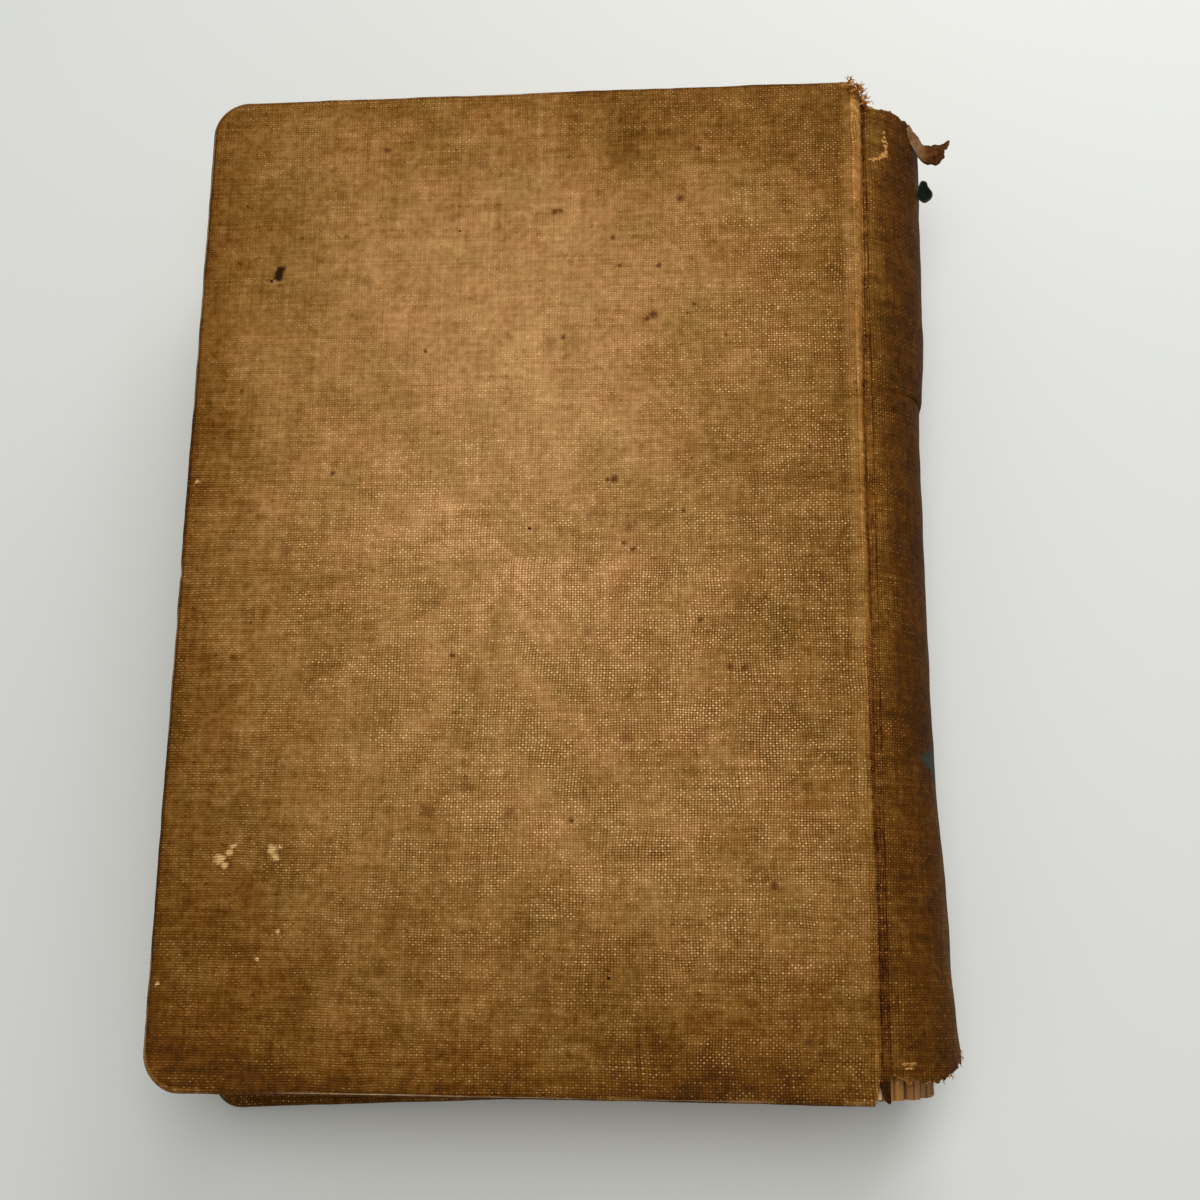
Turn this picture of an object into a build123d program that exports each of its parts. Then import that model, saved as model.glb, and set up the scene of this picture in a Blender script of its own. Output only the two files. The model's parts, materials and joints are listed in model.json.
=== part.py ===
from build123d import *
import math
import os

# A worn cloth-bound hardback book, lying closed on its front cover. Millimetres, +Z up.
# +X points at the spine, +Y at the head. The origin is in the outer face of the front cover,
# straight below the middle of the back board.

# Boards and their covering
board_height = 205.0
board_width = 136.0
board_thickness = 2.6
board_corner_radius = 7.0  # the fore-edge corners are worn round
cloth_thickness = 0.4
turn_in_width = 15.0  # cloth folded round the board and glued to its inner face
paper_thickness = 0.15
pastedown_margin = 1.8  # covering cloth left showing round the pastedown
pastedown_to_joint = 1.0  # the pastedown stops this far short of the board's spine-side edge

# The text block
block_thickness = 38.0
block_height = 199.0
block_drop = 2.4  # the block has slipped this far towards the tail
fore_edge_square = 3.5  # how far the boards overhang the fore edge
fore_edge_hollow = 8.0
section_count = 16  # folded sections, each one ridge on the back
back_round = 10.0  # how far the rounded back stands out from its shoulders
shoulder_gap = 1.6  # from the block's shoulder out to the edge of the spine cloth
fold_round = 0.45  # how far the fold of one section bulges

# Linings on the back of the block
mull_thickness = 0.3
mull_end_margin = 8.0  # the gauze stops short of head and tail
mull_side_angle = 9.0  # degrees it stops short of each shoulder
lining_thickness = 0.2
lining_end_margin = 1.5
lining_side_angle = 11.0

# The hollow back: cloth spine, stiffened by a strip of thick paper
spine_head_tear = 0.5  # torn cloth, measured from the head of the block
spine_tail_tear = 5.5  # the same at the tail, where the folds of the sections show
hollow_at_head = 4.8  # gap between lining and inlay behind the middle of the block's back
hollow_in_middle = 1.4
hollow_at_tail = 3.2
inlay_thickness = 0.6
inlay_end_margin = 1.5
inlay_side_angle = 14.0  # degrees the inlay stops short of each edge of the spine cloth

# The joints, and how the front cover has moved out of true
joint_width = 2.6  # groove between a board and the cloth of the spine
groove_lip = 0.5  # where the cloth turns down over the board's edge
groove_depth = 2.6  # from the cover's outer face down to the cloth in the bottom of the groove
groove_floor = 0.5  # flat width of that bottom
joint_end_margin = 1.0
hinge_depth = 0.9  # a cover turns about the middle of its joint, this far below its outer face
front_turn = 2.6  # degrees, anticlockwise from above
front_shift_x = -3.5
front_shift_y = -1.5

# Clearances
cover_clearance = 0.3  # between a pastedown and the free endpaper beside it
lining_clearance = 0.05  # glue between two curved layers on one body
inlay_clearance = 0.25  # the inlay has come a little away from its cloth
spine_rise_clearance = 0.4  # from the spine cloth up to the outer face of a cover opened flat

# Levels, counted from a cover's outer face inwards
board_level = cloth_thickness
turn_in_level = board_level + board_thickness
pastedown_level = turn_in_level + cloth_thickness
cover_depth = pastedown_level + paper_thickness
endpaper_level = cover_depth + cover_clearance
block_level = endpaper_level + paper_thickness
book_thickness = 2 * block_level + block_thickness
block_top = block_level + block_thickness

# Places along X and Y
board_edge = board_width / 2
block_fore_edge = -board_edge + fore_edge_square
spine_edge = board_edge + joint_width
block_shoulder = spine_edge - shoulder_gap
block_head = block_height / 2 - block_drop
block_tail = -block_height / 2 - block_drop
spine_head = block_head - spine_head_tear
spine_tail = block_tail + spine_tail_tear

# A cover opened flat lies twice the hinge's depth under its closed place, just above the spine cloth
spine_level = 2 * hinge_depth + spine_rise_clearance

# Offsets of the layers outwards from the block's back, and inwards from the outside of the spine cloth
mull_inner = fold_round + lining_clearance
mull_outer = mull_inner + mull_thickness
lining_inner = mull_outer + lining_clearance
lining_outer = lining_inner + lining_thickness
inlay_outer = -cloth_thickness - inlay_clearance
inlay_inner = inlay_outer - inlay_thickness

front_place = Pos(front_shift_x, front_shift_y, 0) * Rot(0, 0, front_turn)
back_place = Pos(0, 0, book_thickness) * Rot(180, 0, 0)


def lean_at(y):
    """How far the front board's spine-side edge stands from straight under the back board's, at height y."""
    turn = math.radians(front_turn)
    middle_x = front_shift_x + board_edge * math.cos(turn)
    middle_y = front_shift_y + board_edge * math.sin(turn)
    return middle_x - (y - middle_y) * math.tan(turn) - board_edge


def leaned(x, y, z):
    """A point of the upright book, moved with the lean that grows from the back cover to the front one."""
    depth = (block_top - z) / block_thickness
    return Vector(x + lean_at(y) * depth, y, z)


def circle_through(a, b, c):
    """Centre and radius of the circle through three points of one X-Z plane."""
    d = 2 * (a.X * (b.Z - c.Z) + b.X * (c.Z - a.Z) + c.X * (a.Z - b.Z))
    a2 = a.X**2 + a.Z**2
    b2 = b.X**2 + b.Z**2
    c2 = c.X**2 + c.Z**2
    x = (a2 * (b.Z - c.Z) + b2 * (c.Z - a.Z) + c2 * (a.Z - b.Z)) / d
    z = (a2 * (c.X - b.X) + b2 * (a.X - c.X) + c2 * (b.X - a.X)) / d
    centre = Vector(x, a.Y, z)
    return centre, (a - centre).length


class Bow:
    """An arc in one X-Z plane, bulging towards +X, through three points from bottom to top."""

    def __init__(self, bottom, outermost, top):
        self.centre, self.radius = circle_through(bottom, outermost, top)
        self.start = self.angle_of(bottom)
        self.end = self.angle_of(top)

    def angle_of(self, point):
        return math.atan2(point.Z - self.centre.Z, point.X - self.centre.X)

    def at(self, angle, offset=0.0):
        """The point at an angle, offset outwards from the arc."""
        reach = self.radius + offset
        return self.centre + Vector(reach * math.cos(angle), 0, reach * math.sin(angle))

    def arc(self, offset, trim):
        """The arc from bottom to top, offset outwards and cut short by an angle at both ends."""
        low = self.start + trim
        high = self.end - trim
        middle = (low + high) / 2
        return ThreePointArc(self.at(low, offset), self.at(middle, offset), self.at(high, offset))

    def layer(self, inner, outer, side_angle=0.0):
        """The closed outline of a thin curved layer between two offsets."""
        trim = math.radians(side_angle)
        inside = self.arc(inner, trim)
        outside = self.arc(outer, trim)
        return Face(Wire([inside, Line(inside @ 1, outside @ 1), outside, Line(outside @ 0, inside @ 0)]))


def back_middle(y):
    """The outermost point of the text block's back at height y, without the ridges of its folds."""
    return leaned(block_shoulder + back_round, y, book_thickness / 2)


def block_bow(y):
    """The rounded back of the text block at height y."""
    bottom = leaned(block_shoulder, y, block_level)
    top = leaned(block_shoulder, y, block_top)
    return Bow(bottom, back_middle(y), top)


def spine_bow(y, hollow):
    """The outside of the spine cloth at height y, sprung between the joints over this wide a hollow."""
    bottom = Vector(spine_edge + lean_at(y), y, spine_level)
    top = Vector(spine_edge, y, book_thickness - spine_level)
    outermost = back_middle(y) + Vector(lining_outer + hollow - inlay_inner, 0, 0)
    return Bow(bottom, outermost, top)


def block_outline(y):
    """The text block cut across at height y: hollow fore edge, flat sides, one ridge for each section."""
    bow = block_bow(y)
    step = (bow.end - bow.start) / section_count
    folds = []
    for i in range(section_count):
        low = bow.start + i * step
        crest = bow.at(low + step / 2, fold_round)
        folds.append(ThreePointArc(bow.at(low), crest, bow.at(low + step)))
    bottom = leaned(block_fore_edge, y, block_level)
    top = leaned(block_fore_edge, y, block_top)
    hollow = leaned(block_fore_edge + fore_edge_hollow, y, (block_level + block_top) / 2)
    sides = [
        Line(folds[-1] @ 1, top),
        ThreePointArc(top, hollow, bottom),
        Line(bottom, folds[0] @ 0),
    ]
    return Face(Wire(folds + sides))


def make_text_block():
    return loft([block_outline(block_tail), block_outline(block_head)], ruled=True)


def make_back_layer(inner, outer, end_margin, side_angle):
    """A lining glued over the back of the block."""
    ends = (block_tail + end_margin, block_head - end_margin)
    return loft([block_bow(y).layer(inner, outer, side_angle) for y in ends], ruled=True)


def spine_stations(end_margin):
    """Heights along the spine, each with the width of the hollow there."""
    middle = (spine_head + spine_tail) / 2
    return [
        (spine_tail + end_margin, hollow_at_tail),
        (middle, hollow_in_middle),
        (spine_head - end_margin, hollow_at_head),
    ]


def make_spine_layer(inner, outer, end_margin=0.0, side_angle=0.0):
    """The spine cloth, or the inlay inside it."""
    bows = [spine_bow(y, hollow) for y, hollow in spine_stations(end_margin)]
    return loft([bow.layer(inner, outer, side_angle) for bow in bows])


def make_leaf(low, high):
    """One leaf as large as the block's own pages, lying between two levels."""
    corners = [
        leaned(block_fore_edge, block_tail, low),
        leaned(block_shoulder, block_tail, low),
        leaned(block_shoulder, block_head, low),
        leaned(block_fore_edge, block_head, low),
    ]
    outline = Face(Wire(Polyline(*corners, close=True)))
    return extrude(outline, high - low, dir=(0, 0, 1))


# Each piece of a cover is made with the cover's outer face on Z = 0 and its inner side up.
def cover_outline(grow):
    """The board's outline, grown on its three free edges. The two fore-edge corners are round."""
    outline = Pos(-grow / 2, 0) * Rectangle(board_width + grow, board_height + 2 * grow)
    return fillet(outline.vertices().group_by(Axis.X)[0], board_corner_radius + grow)


def slab(outline, low, high):
    return Pos(0, 0, low) * extrude(outline, high - low)


def make_board():
    return slab(cover_outline(0), board_level, turn_in_level)


def make_cover_cloth():
    """Cloth over the outer face, round the three free edges and turned in on the inner face."""
    whole = slab(cover_outline(cloth_thickness), 0, pastedown_level)
    window_width = board_width - turn_in_width
    window_height = board_height - 2 * turn_in_width
    window = Pos(turn_in_width / 2, 0) * Rectangle(window_width, window_height)
    return whole - make_board() - slab(window, turn_in_level, pastedown_level)


def make_pastedown():
    """The pasted leaf: flat over the turn-ins, and sunk between them to lie on the board."""
    width = board_width - pastedown_margin - pastedown_to_joint
    leaf_middle = (pastedown_margin - pastedown_to_joint) / 2
    leaf = Pos(leaf_middle, 0) * Rectangle(width, board_height - 2 * pastedown_margin)
    left = -board_edge + turn_in_width
    right = board_edge - pastedown_to_joint
    well_height = board_height - 2 * turn_in_width
    well = Pos((left + right) / 2, 0) * Rectangle(right - left, well_height)
    recess_left = left + paper_thickness
    recess_height = well_height - 2 * paper_thickness
    recess = Pos((recess_left + right) / 2, 0) * Rectangle(right - recess_left, recess_height)
    sheet = slab(leaf, pastedown_level, cover_depth) + slab(well, turn_in_level, cover_depth)
    return sheet - slab(recess, turn_in_level + paper_thickness, cover_depth)


def make_joint_cloth():
    """Cloth that turns down the board's edge, crosses the groove and meets the cloth of the spine."""
    lip = board_edge + groove_lip
    far_end = spine_edge - cloth_thickness
    outside = [
        (board_edge, 0),
        (lip, cloth_thickness / 2),
        (lip + cloth_thickness, groove_depth),
        (lip + cloth_thickness + groove_floor, groove_depth),
        (far_end, spine_level),
    ]
    inside = [
        (far_end, spine_level + cloth_thickness),
        (lip + cloth_thickness + groove_floor, groove_depth + cloth_thickness),
        (lip, groove_depth + cloth_thickness),
        (lip - cloth_thickness, cloth_thickness),
        (board_edge, cloth_thickness),
    ]
    outline = make_face(Plane.XZ * Polyline(*outside, *inside, close=True))
    return extrude(outline, board_height / 2 - joint_end_margin, both=True)


def save(name, shape):
    shape.label = name
    export_step(shape, f"parts/{name}.step")


def save_cover(side, place):
    save(f"{side}_board", place * make_board())
    save(f"{side}_cover_cloth", place * make_cover_cloth())
    save(f"{side}_pastedown", place * make_pastedown())
    save(f"{side}_joint_cloth", place * make_joint_cloth())


os.makedirs("parts", exist_ok=True)

save_cover("back", back_place)
save_cover("front", front_place)

save("text_block", make_text_block())
save("back_free_endpaper", make_leaf(block_top, block_top + paper_thickness))
save("front_free_endpaper", make_leaf(endpaper_level, block_level))
save("mull", make_back_layer(mull_inner, mull_outer, mull_end_margin, mull_side_angle))
save("spine_lining", make_back_layer(lining_inner, lining_outer, lining_end_margin, lining_side_angle))
save("spine_cloth", make_spine_layer(-cloth_thickness, 0))
save("spine_inlay", make_spine_layer(inlay_inner, inlay_outer, inlay_end_margin, inlay_side_angle))
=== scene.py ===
import json
import math
import random

import bpy
import numpy as np
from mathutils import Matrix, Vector, noise


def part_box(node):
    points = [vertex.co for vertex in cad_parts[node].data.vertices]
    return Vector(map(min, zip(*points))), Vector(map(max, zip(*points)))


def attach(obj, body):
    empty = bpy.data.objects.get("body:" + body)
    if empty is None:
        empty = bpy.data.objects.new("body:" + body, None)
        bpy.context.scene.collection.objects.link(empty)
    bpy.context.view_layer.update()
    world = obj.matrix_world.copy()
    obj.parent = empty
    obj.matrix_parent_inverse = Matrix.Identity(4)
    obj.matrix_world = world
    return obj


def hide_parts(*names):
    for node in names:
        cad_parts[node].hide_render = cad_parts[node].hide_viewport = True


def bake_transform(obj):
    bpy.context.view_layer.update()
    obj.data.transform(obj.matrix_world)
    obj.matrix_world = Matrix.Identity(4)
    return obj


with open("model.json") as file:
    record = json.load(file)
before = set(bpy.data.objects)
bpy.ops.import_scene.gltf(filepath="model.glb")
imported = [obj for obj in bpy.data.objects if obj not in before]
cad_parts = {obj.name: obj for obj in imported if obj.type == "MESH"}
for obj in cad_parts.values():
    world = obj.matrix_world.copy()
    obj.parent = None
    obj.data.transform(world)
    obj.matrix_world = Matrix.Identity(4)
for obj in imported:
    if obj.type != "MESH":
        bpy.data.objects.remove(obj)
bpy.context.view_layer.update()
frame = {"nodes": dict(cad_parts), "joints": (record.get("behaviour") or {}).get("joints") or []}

# A worn cloth-bound hardback, lying on its front cover. Shapes are worked out in millimetres, in
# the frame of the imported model: +X towards the spine, +Y towards the head, +Z up.


# ---- Text block ------------------------------------------------------------------------------
# Folded and sewn sections of old rag paper, rounded at the back and hollow at the fore edge.
# The block leans, because the front cover has slipped and turned under it.
MM = 0.001
SECTIONS = 16
LEVELS_IN_SECTION = 12  # rows of mesh through one section
BACK_ROUND = 10.0  # how far the back stands out from its shoulders
FORE_EDGE_HOLLOW = 8.0
FOLD_ROUND = 0.45  # how far the fold of a section bulges
FOLD_GROOVE = 0.65  # how deep the gap between two folds is
GLUE_TONE = 0.2  # how much old glue darkens the folds
FAN_LENGTH = 20.0  # the leaves spread from their flat run to the rounded back over this length
SECTION_SHIFT = 0.25  # the most that a whole section stands in or out
LEAF_SHIFT = 0.09  # and one leaf within it
EDGE_WAVE, EDGE_WAVE_LENGTH = 0.7, 34.0  # slow waves along the fore edge
GAPE = 0.35  # how far the leaves beside an open gap draw back


def box_mm(node):
    """Lowest and highest corner of a node of the model, in millimetres."""
    low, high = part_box(node)
    return np.array(low) / MM, np.array(high) / MM


board_low, board_high = box_mm("back_board")
back_cloth_top = box_mm("back_cover_cloth")[1][2]
block_low, block_high = box_mm("text_block")
top_leaf_low, top_leaf_high = box_mm("back_free_endpaper")
board_edge = board_high[0]
shoulder_x = top_leaf_high[0]
fore_edge_x = top_leaf_low[0]
block_bottom, block_top = block_low[2], block_high[2]
block_tail, block_head = block_low[1], block_high[1]
block_middle = (block_bottom + block_top) / 2
hinges = {joint["name"]: joint for joint in frame["joints"]}
hinge_x = hinges["back_cover_hinge"]["pos_m"][0] / MM
hinge_depth = back_cloth_top - hinges["back_cover_hinge"]["pos_m"][2] / MM


class Cover:
    """Where a cover lies. In its own frame the outer face is on Z = 0 and the spine is at +X."""

    def __init__(self, side):
        hinge = hinges[f"{side}_cover_hinge"]
        self.side = side
        self.along = -np.array(hinge["axis"])
        self.inward = np.array((0, 0, 1.0 if side == "front" else -1.0))
        self.across = np.cross(self.along, self.inward)
        self.origin = np.array(hinge["pos_m"]) / MM - hinge_x * self.across - hinge_depth * self.inward

    def place(self, points):
        """Points of the cover's own frame, in the frame of the book."""
        return self.origin + points @ np.array((self.across, self.along, self.inward))


back_cover = Cover("back")
front_cover = Cover("front")


def lean_at(y):
    """How far the front board's edge stands from straight under the back board's, at height y."""
    start = front_cover.place(np.array((board_edge, 0, 0)))
    return start[0] + (y - start[1]) * front_cover.along[0] / front_cover.along[1] - board_edge


def arc_through(bottom, outermost, top):
    """Centre, radius and end angles of the X-Z arcs through three places, for many heights at once."""
    (ax, az), (bx, bz), (cx, cz) = bottom, outermost, top
    d = 2 * (ax * (bz - cz) + bx * (cz - az) + cx * (az - bz))
    a2, b2, c2 = ax**2 + az**2, bx**2 + bz**2, cx**2 + cz**2
    x = (a2 * (bz - cz) + b2 * (cz - az) + c2 * (az - bz)) / d
    z = (a2 * (cx - bx) + b2 * (ax - cx) + c2 * (bx - ax)) / d
    return x, z, np.hypot(ax - x, az - z), np.arctan2(az - z, ax - x), np.arctan2(cz - z, cx - x)


def back_point(share, y, offset):
    """X and Z on the rounded back: share runs from 0 at the bottom shoulder to 1 at the top one."""
    lean = lean_at(y)
    x, z, radius, low, high = arc_through(
        (shoulder_x + lean, block_bottom),
        (shoulder_x + BACK_ROUND + lean / 2, block_middle),
        (shoulder_x + 0 * lean, block_top),
    )
    angle = low + share * (high - low)
    return x + (radius + offset) * np.cos(angle), z + (radius + offset) * np.sin(angle)


def smooth(value, start, end):
    """0 before start and 1 after end, with an even curve between."""
    t = np.clip((value - start) / (end - start), 0, 1)
    return t * t * (3 - 2 * t)


def ripple(points, wavelength, seed=0.0):
    """Smooth noise from about -0.5 to 0.5 at each point, changing over this wavelength in mm."""
    return np.array([noise.noise(Vector(p) / wavelength + Vector((seed, seed, 0))) for p in points])


def quads(rows, columns, closed=False):
    """Four-sided faces between the points of a grid, row by row. A closed grid joins its last column."""
    last = columns if closed else columns - 1
    faces = []
    for row in range(rows - 1):
        for column in range(last):
            beside = (column + 1) % columns
            a, b = row * columns + column, row * columns + beside
            faces.append((a, b, b + columns, a + columns))
    return faces


def make_piece(name, points, faces, finish, fields, sharp=None):
    """A shown mesh from points in mm, with its material and the named values kept at each point."""
    mesh = bpy.data.meshes.new(name)
    mesh.from_pydata((np.asarray(points) * MM).tolist(), [], faces)
    for field, values in fields.items():
        values = np.asarray(values, np.float32)
        kind, key = ("FLOAT_VECTOR", "vector") if values.ndim == 2 else ("FLOAT", "value")
        mesh.attributes.new(field, kind, "POINT").data.foreach_set(key, values.ravel())
    mesh.validate()
    mesh.shade_smooth()
    if sharp:
        mesh.set_sharp_from_angle(angle=math.radians(sharp))
    mesh.materials.append(finish)
    piece = bpy.data.objects.new(name, mesh)
    bpy.context.scene.collection.objects.link(piece)
    return piece


def linear(hex_colour):
    """An sRGB hex colour as the linear red, green, blue and alpha that the shaders take."""
    channels = [int(hex_colour[i : i + 2], 16) / 255 for i in (1, 3, 5)]
    return [c / 12.92 if c <= 0.04045 else ((c + 0.055) / 1.055) ** 2.4 for c in channels] + [1.0]


def add(tree, kind, inputs, **settings):
    """Adds one node with its settings, sets or links its inputs, and returns its first output."""
    node = tree.nodes.new("ShaderNode" + kind)
    for setting, value in settings.items():
        setattr(node, setting, value)
    usable = [socket for socket in node.inputs if socket.enabled]
    for key, value in inputs.items():
        socket = usable[key] if isinstance(key, int) else next(s for s in usable if s.name == key)
        if isinstance(value, bpy.types.NodeSocket):
            tree.links.new(value, socket)
        else:
            socket.default_value = value
    return next((socket for socket in node.outputs if socket.enabled), None)


def ramp(tree, factor, stops):
    """A colour from a factor, through stops of (place, hex colour)."""
    colour = add(tree, "ValToRGB", {0: factor})
    bar = colour.node.color_ramp
    while len(bar.elements) < len(stops):
        bar.elements.new(0.5)
    for element, (place, hex_colour) in zip(bar.elements, stops):
        element.position = place
        element.color = linear(hex_colour)
    return colour


def new_finish(name):
    """An empty node material and its tree."""
    finish = bpy.data.materials.new(name)
    finish.use_nodes = True
    finish.node_tree.nodes.clear()
    return finish, finish.node_tree


def surface(tree, colour, roughness, height=None, relief=0.1, **constants):
    """The principled shader and output: relief is in mm, and constants go on the shader's sockets."""
    inputs = {"Base Color": colour, "Roughness": roughness, "IOR": 1.5}
    inputs.update({key.replace("_", " "): value for key, value in constants.items()})
    if height is not None:
        inputs["Normal"] = add(tree, "Bump", {"Height": height, "Strength": 1.0, "Distance": relief * MM})
    shader = add(tree, "BsdfPrincipled", inputs)
    add(tree, "OutputMaterial", {"Surface": shader})


def page_edges():
    """Cut edges of aged rag paper: fine lines along the leaves, grey grime, tan toning, and painted shade in
    the gaps between sections.
    Real leaves are 0.1 mm, too fine to show, so the lines are drawn 0.3 to 1 mm apart."""
    finish, tree = new_finish("aged_rag_paper_edges")
    page = add(tree, "Attribute", {}, attribute_name="page")  # run round the block, leaf, 0, in mm
    lines = add(tree, "VectorMath", {0: page, 1: (0.025, 3.2, 0)}, operation="MULTIPLY")
    fine = add(tree, "TexNoise", {"Vector": lines, "Scale": 1.0, "Detail": 4.0, "Roughness": 0.75})
    sets = add(tree, "VectorMath", {0: page, 1: (0.012, 0.75, 0)}, operation="MULTIPLY")
    coarse = add(tree, "TexNoise", {"Vector": sets, "Scale": 1.0, "Detail": 2.0, "Roughness": 0.6})
    place = add(tree, "TexCoord", {}).node.outputs["Object"]
    toning = add(tree, "TexNoise", {"Vector": place, "Scale": 45.0, "Detail": 5.0, "Roughness": 0.65})
    both = add(tree, "Math", {0: fine, 1: coarse}, operation="ADD")
    tone = add(tree, "Math", {0: both, 1: 0.42, 2: -0.02}, operation="MULTIPLY_ADD")
    tone = add(tree, "Math", {0: toning, 1: 0.5, 2: tone}, operation="MULTIPLY_ADD")
    tone = add(tree, "Math", {0: tone, 1: -0.16}, operation="ADD")
    # The gap value darkens the edges with painted shade in the gaps between sections and in the grooves
    # between folds, and with old glue on the back
    gap = add(tree, "Attribute", {}, attribute_name="gap")
    tone = add(tree, "Math", {0: gap, 1: -0.55, 2: tone}, operation="MULTIPLY_ADD")
    stops = [(0.0, "#35200b"), (0.25, "#74532a"), (0.5, "#ad8850"), (0.75, "#c8a770"), (1.0, "#dac092")]
    colour = ramp(tree, tone, stops)
    glued = add(tree, "Attribute", {}, attribute_name="glued")
    old_glue = {"Factor": 1.0, "A": colour, "B": linear("#f6d5a4")}
    brown = add(tree, "Mix", old_glue, data_type="RGBA", blend_type="MULTIPLY")
    colour = add(tree, "Mix", {"Factor": glued, "A": colour, "B": brown}, data_type="RGBA")
    surface(tree, colour, 0.85, height=fine, relief=0.12)
    return finish


def build_text_block():
    """The whole block as a stack of loops, one for each level, with leaves that aren't quite even."""
    levels = SECTIONS * LEVELS_IN_SECTION + 1
    draw = random.Random(16)
    share = np.linspace(0, 1, levels)
    section = np.minimum(np.arange(levels) // LEVELS_IN_SECTION, SECTIONS - 1)
    in_section = share * SECTIONS - section
    groove = (np.arange(levels) % LEVELS_IN_SECTION == 0).astype(float)
    groove[0] = groove[-1] = 0
    fold_groove_shade = np.clip(1 - np.minimum(in_section, 1 - in_section) * LEVELS_IN_SECTION / 1.6, 0, 1)
    section_shift = np.array([draw.uniform(-SECTION_SHIFT, SECTION_SHIFT) for _ in range(SECTIONS)])
    gape = np.array([draw.uniform(0.0, 1.0) ** 2 for _ in range(levels)])  # how open each gap is
    leaf_shift = np.array([draw.uniform(-LEAF_SHIFT, LEAF_SHIFT) for _ in range(levels)])
    shift = section_shift[section] + leaf_shift
    fold_size = np.array([draw.uniform(0.6, 1.6) for _ in range(SECTIONS)])[section]
    fold_shade_strength = np.array([draw.uniform(0.3, 1.1) for _ in range(SECTIONS)])[section]
    bulge = np.sqrt(np.clip(1 - (2 * in_section - 1) ** 2, 0, 1))
    fold = FOLD_ROUND * fold_size * bulge - FOLD_GROOVE * groove

    # Each loop runs up the fore edge, along the head, down the rounded back and along the tail
    y_steps = np.linspace(block_tail, block_head, 56)
    x_steps = 1 - np.cos(np.linspace(0, 1, 38) * math.pi / 2) ** 1.6
    x_steps = x_steps / x_steps[-1]
    across, page_run, page_leaf, gaps, glued = [], [], [], [], []
    for k in range(levels):
        z_flat = block_bottom + share[k] * (block_top - block_bottom)
        height = (z_flat - block_middle) / (block_top - block_middle)
        sag = FORE_EDGE_HOLLOW * (1 - height**2) + leaf_shift[k] * 0.8 + section_shift[section[k]] * 0.4
        sag = sag + GAPE * groove[k] * gape[k]
        waves = ripple([(0, y, z_flat * 0.4) for y in y_steps], EDGE_WAVE_LENGTH, 3.0) * EDGE_WAVE
        lean = lean_at(y_steps)
        fore = np.column_stack((
            fore_edge_x + lean * (1 - share[k]) + np.maximum(sag + waves * (1 - height**2), 0),
            y_steps,
            np.full_like(y_steps, z_flat),
        ))
        back_x, back_z = back_point(share[k], y_steps, fold[k])
        back = np.column_stack((back_x, y_steps, back_z))
        trim = shift[k] - 0.3 * groove[k] * gape[k]
        fore[0, 1] = back[0, 1] = block_tail - trim
        fore[-1, 1] = back[-1, 1] = block_head + trim
        bend = smooth(x_steps, 1 - FAN_LENGTH / (shoulder_x - fore_edge_x), 1.0)
        ends = []
        for near, far in ((fore[-1], back[-1]), (fore[0], back[0])):
            line = near + (far - near) * x_steps[:, None]
            line[:, 2] = near[2] + (far[2] - near[2]) * bend
            ends.append(line)
        loop = np.concatenate((fore, ends[0][1:-1], back[::-1], ends[1][-2:0:-1]))
        across.append(loop)
        steps = np.linalg.norm(np.diff(loop[:, :2], axis=0), axis=1)
        page_run.append(np.concatenate(([0], np.cumsum(steps))))
        page_leaf.append(np.full(len(loop), share[k] * (block_top - block_bottom)))
        on_back = np.zeros(len(loop))
        on_back[len(fore) + len(ends[0]) - 2 :][: len(back)] = 1.0
        # Painted shade in the open gaps at the edges and in the grooves between folds at the back; old glue
        # darkens the back as well
        edge_gap_shade = groove[k] * (0.15 + 0.6 * gape[k])
        fold_glue_and_shade = GLUE_TONE + fold_groove_shade[k] * fold_shade_strength[k]
        gaps.append(edge_gap_shade * (1 - on_back) + fold_glue_and_shade * on_back)
        glued.append(on_back)
    columns = len(across[0])
    points = np.concatenate(across)
    faces = [face[::-1] for face in quads(levels, columns, closed=True)]
    faces.append(tuple(range(columns)))
    faces.append(tuple(range((levels - 1) * columns, levels * columns))[::-1])
    run = np.concatenate(page_run)
    page = np.column_stack((run, np.concatenate(page_leaf), np.zeros(len(run))))
    fields = {"page": page, "gap": np.concatenate(gaps), "glued": np.concatenate(glued)}
    block = make_piece("text_block_pages", points, faces, page_edges(), fields, sharp=60)
    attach(block, "text_block")
    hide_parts("text_block")


build_text_block()


# ---- Mull ------------------------------------------------------------------------------------
# Open starched gauze glued over the folds to hold the sections together. It shows only at the
# ends of the hollow back: a coarse square mesh, brown with old glue.
MULL_PITCH = 1.3  # mm between threads


def gauze():
    """Open-woven cotton soaked in glue: a raised square mesh over a darker ground."""
    finish, tree = new_finish("glue_soaked_cotton_gauze")
    place = add(tree, "TexCoord", {}).node.outputs["Object"]
    scaled = add(tree, "VectorMath", {0: place, "Scale": math.pi / (MULL_PITCH * MM)}, operation="SCALE")
    parts = add(tree, "SeparateXYZ", {0: scaled}).node
    heights = []
    for socket in (parts.outputs[1], parts.outputs[2]):
        wave = add(tree, "Math", {0: socket}, operation="SINE")
        heights.append(add(tree, "Math", {0: wave}, operation="ABSOLUTE"))
    low = add(tree, "Math", {0: heights[0], 1: heights[1]}, operation="MINIMUM")
    thread = add(tree, "MapRange", {"Value": low, "From Min": 0.55, "From Max": 0.2})
    stain = add(tree, "TexNoise", {"Vector": place, "Scale": 160.0, "Detail": 4.0})
    ground = ramp(tree, stain, [(0.3, "#64401a"), (0.7, "#93682f")])
    colour = add(tree, "Mix", {"Factor": thread, "A": ground, "B": linear("#b3894c")}, data_type="RGBA")
    surface(tree, colour, 0.7, height=thread, relief=0.2)
    return finish


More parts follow.
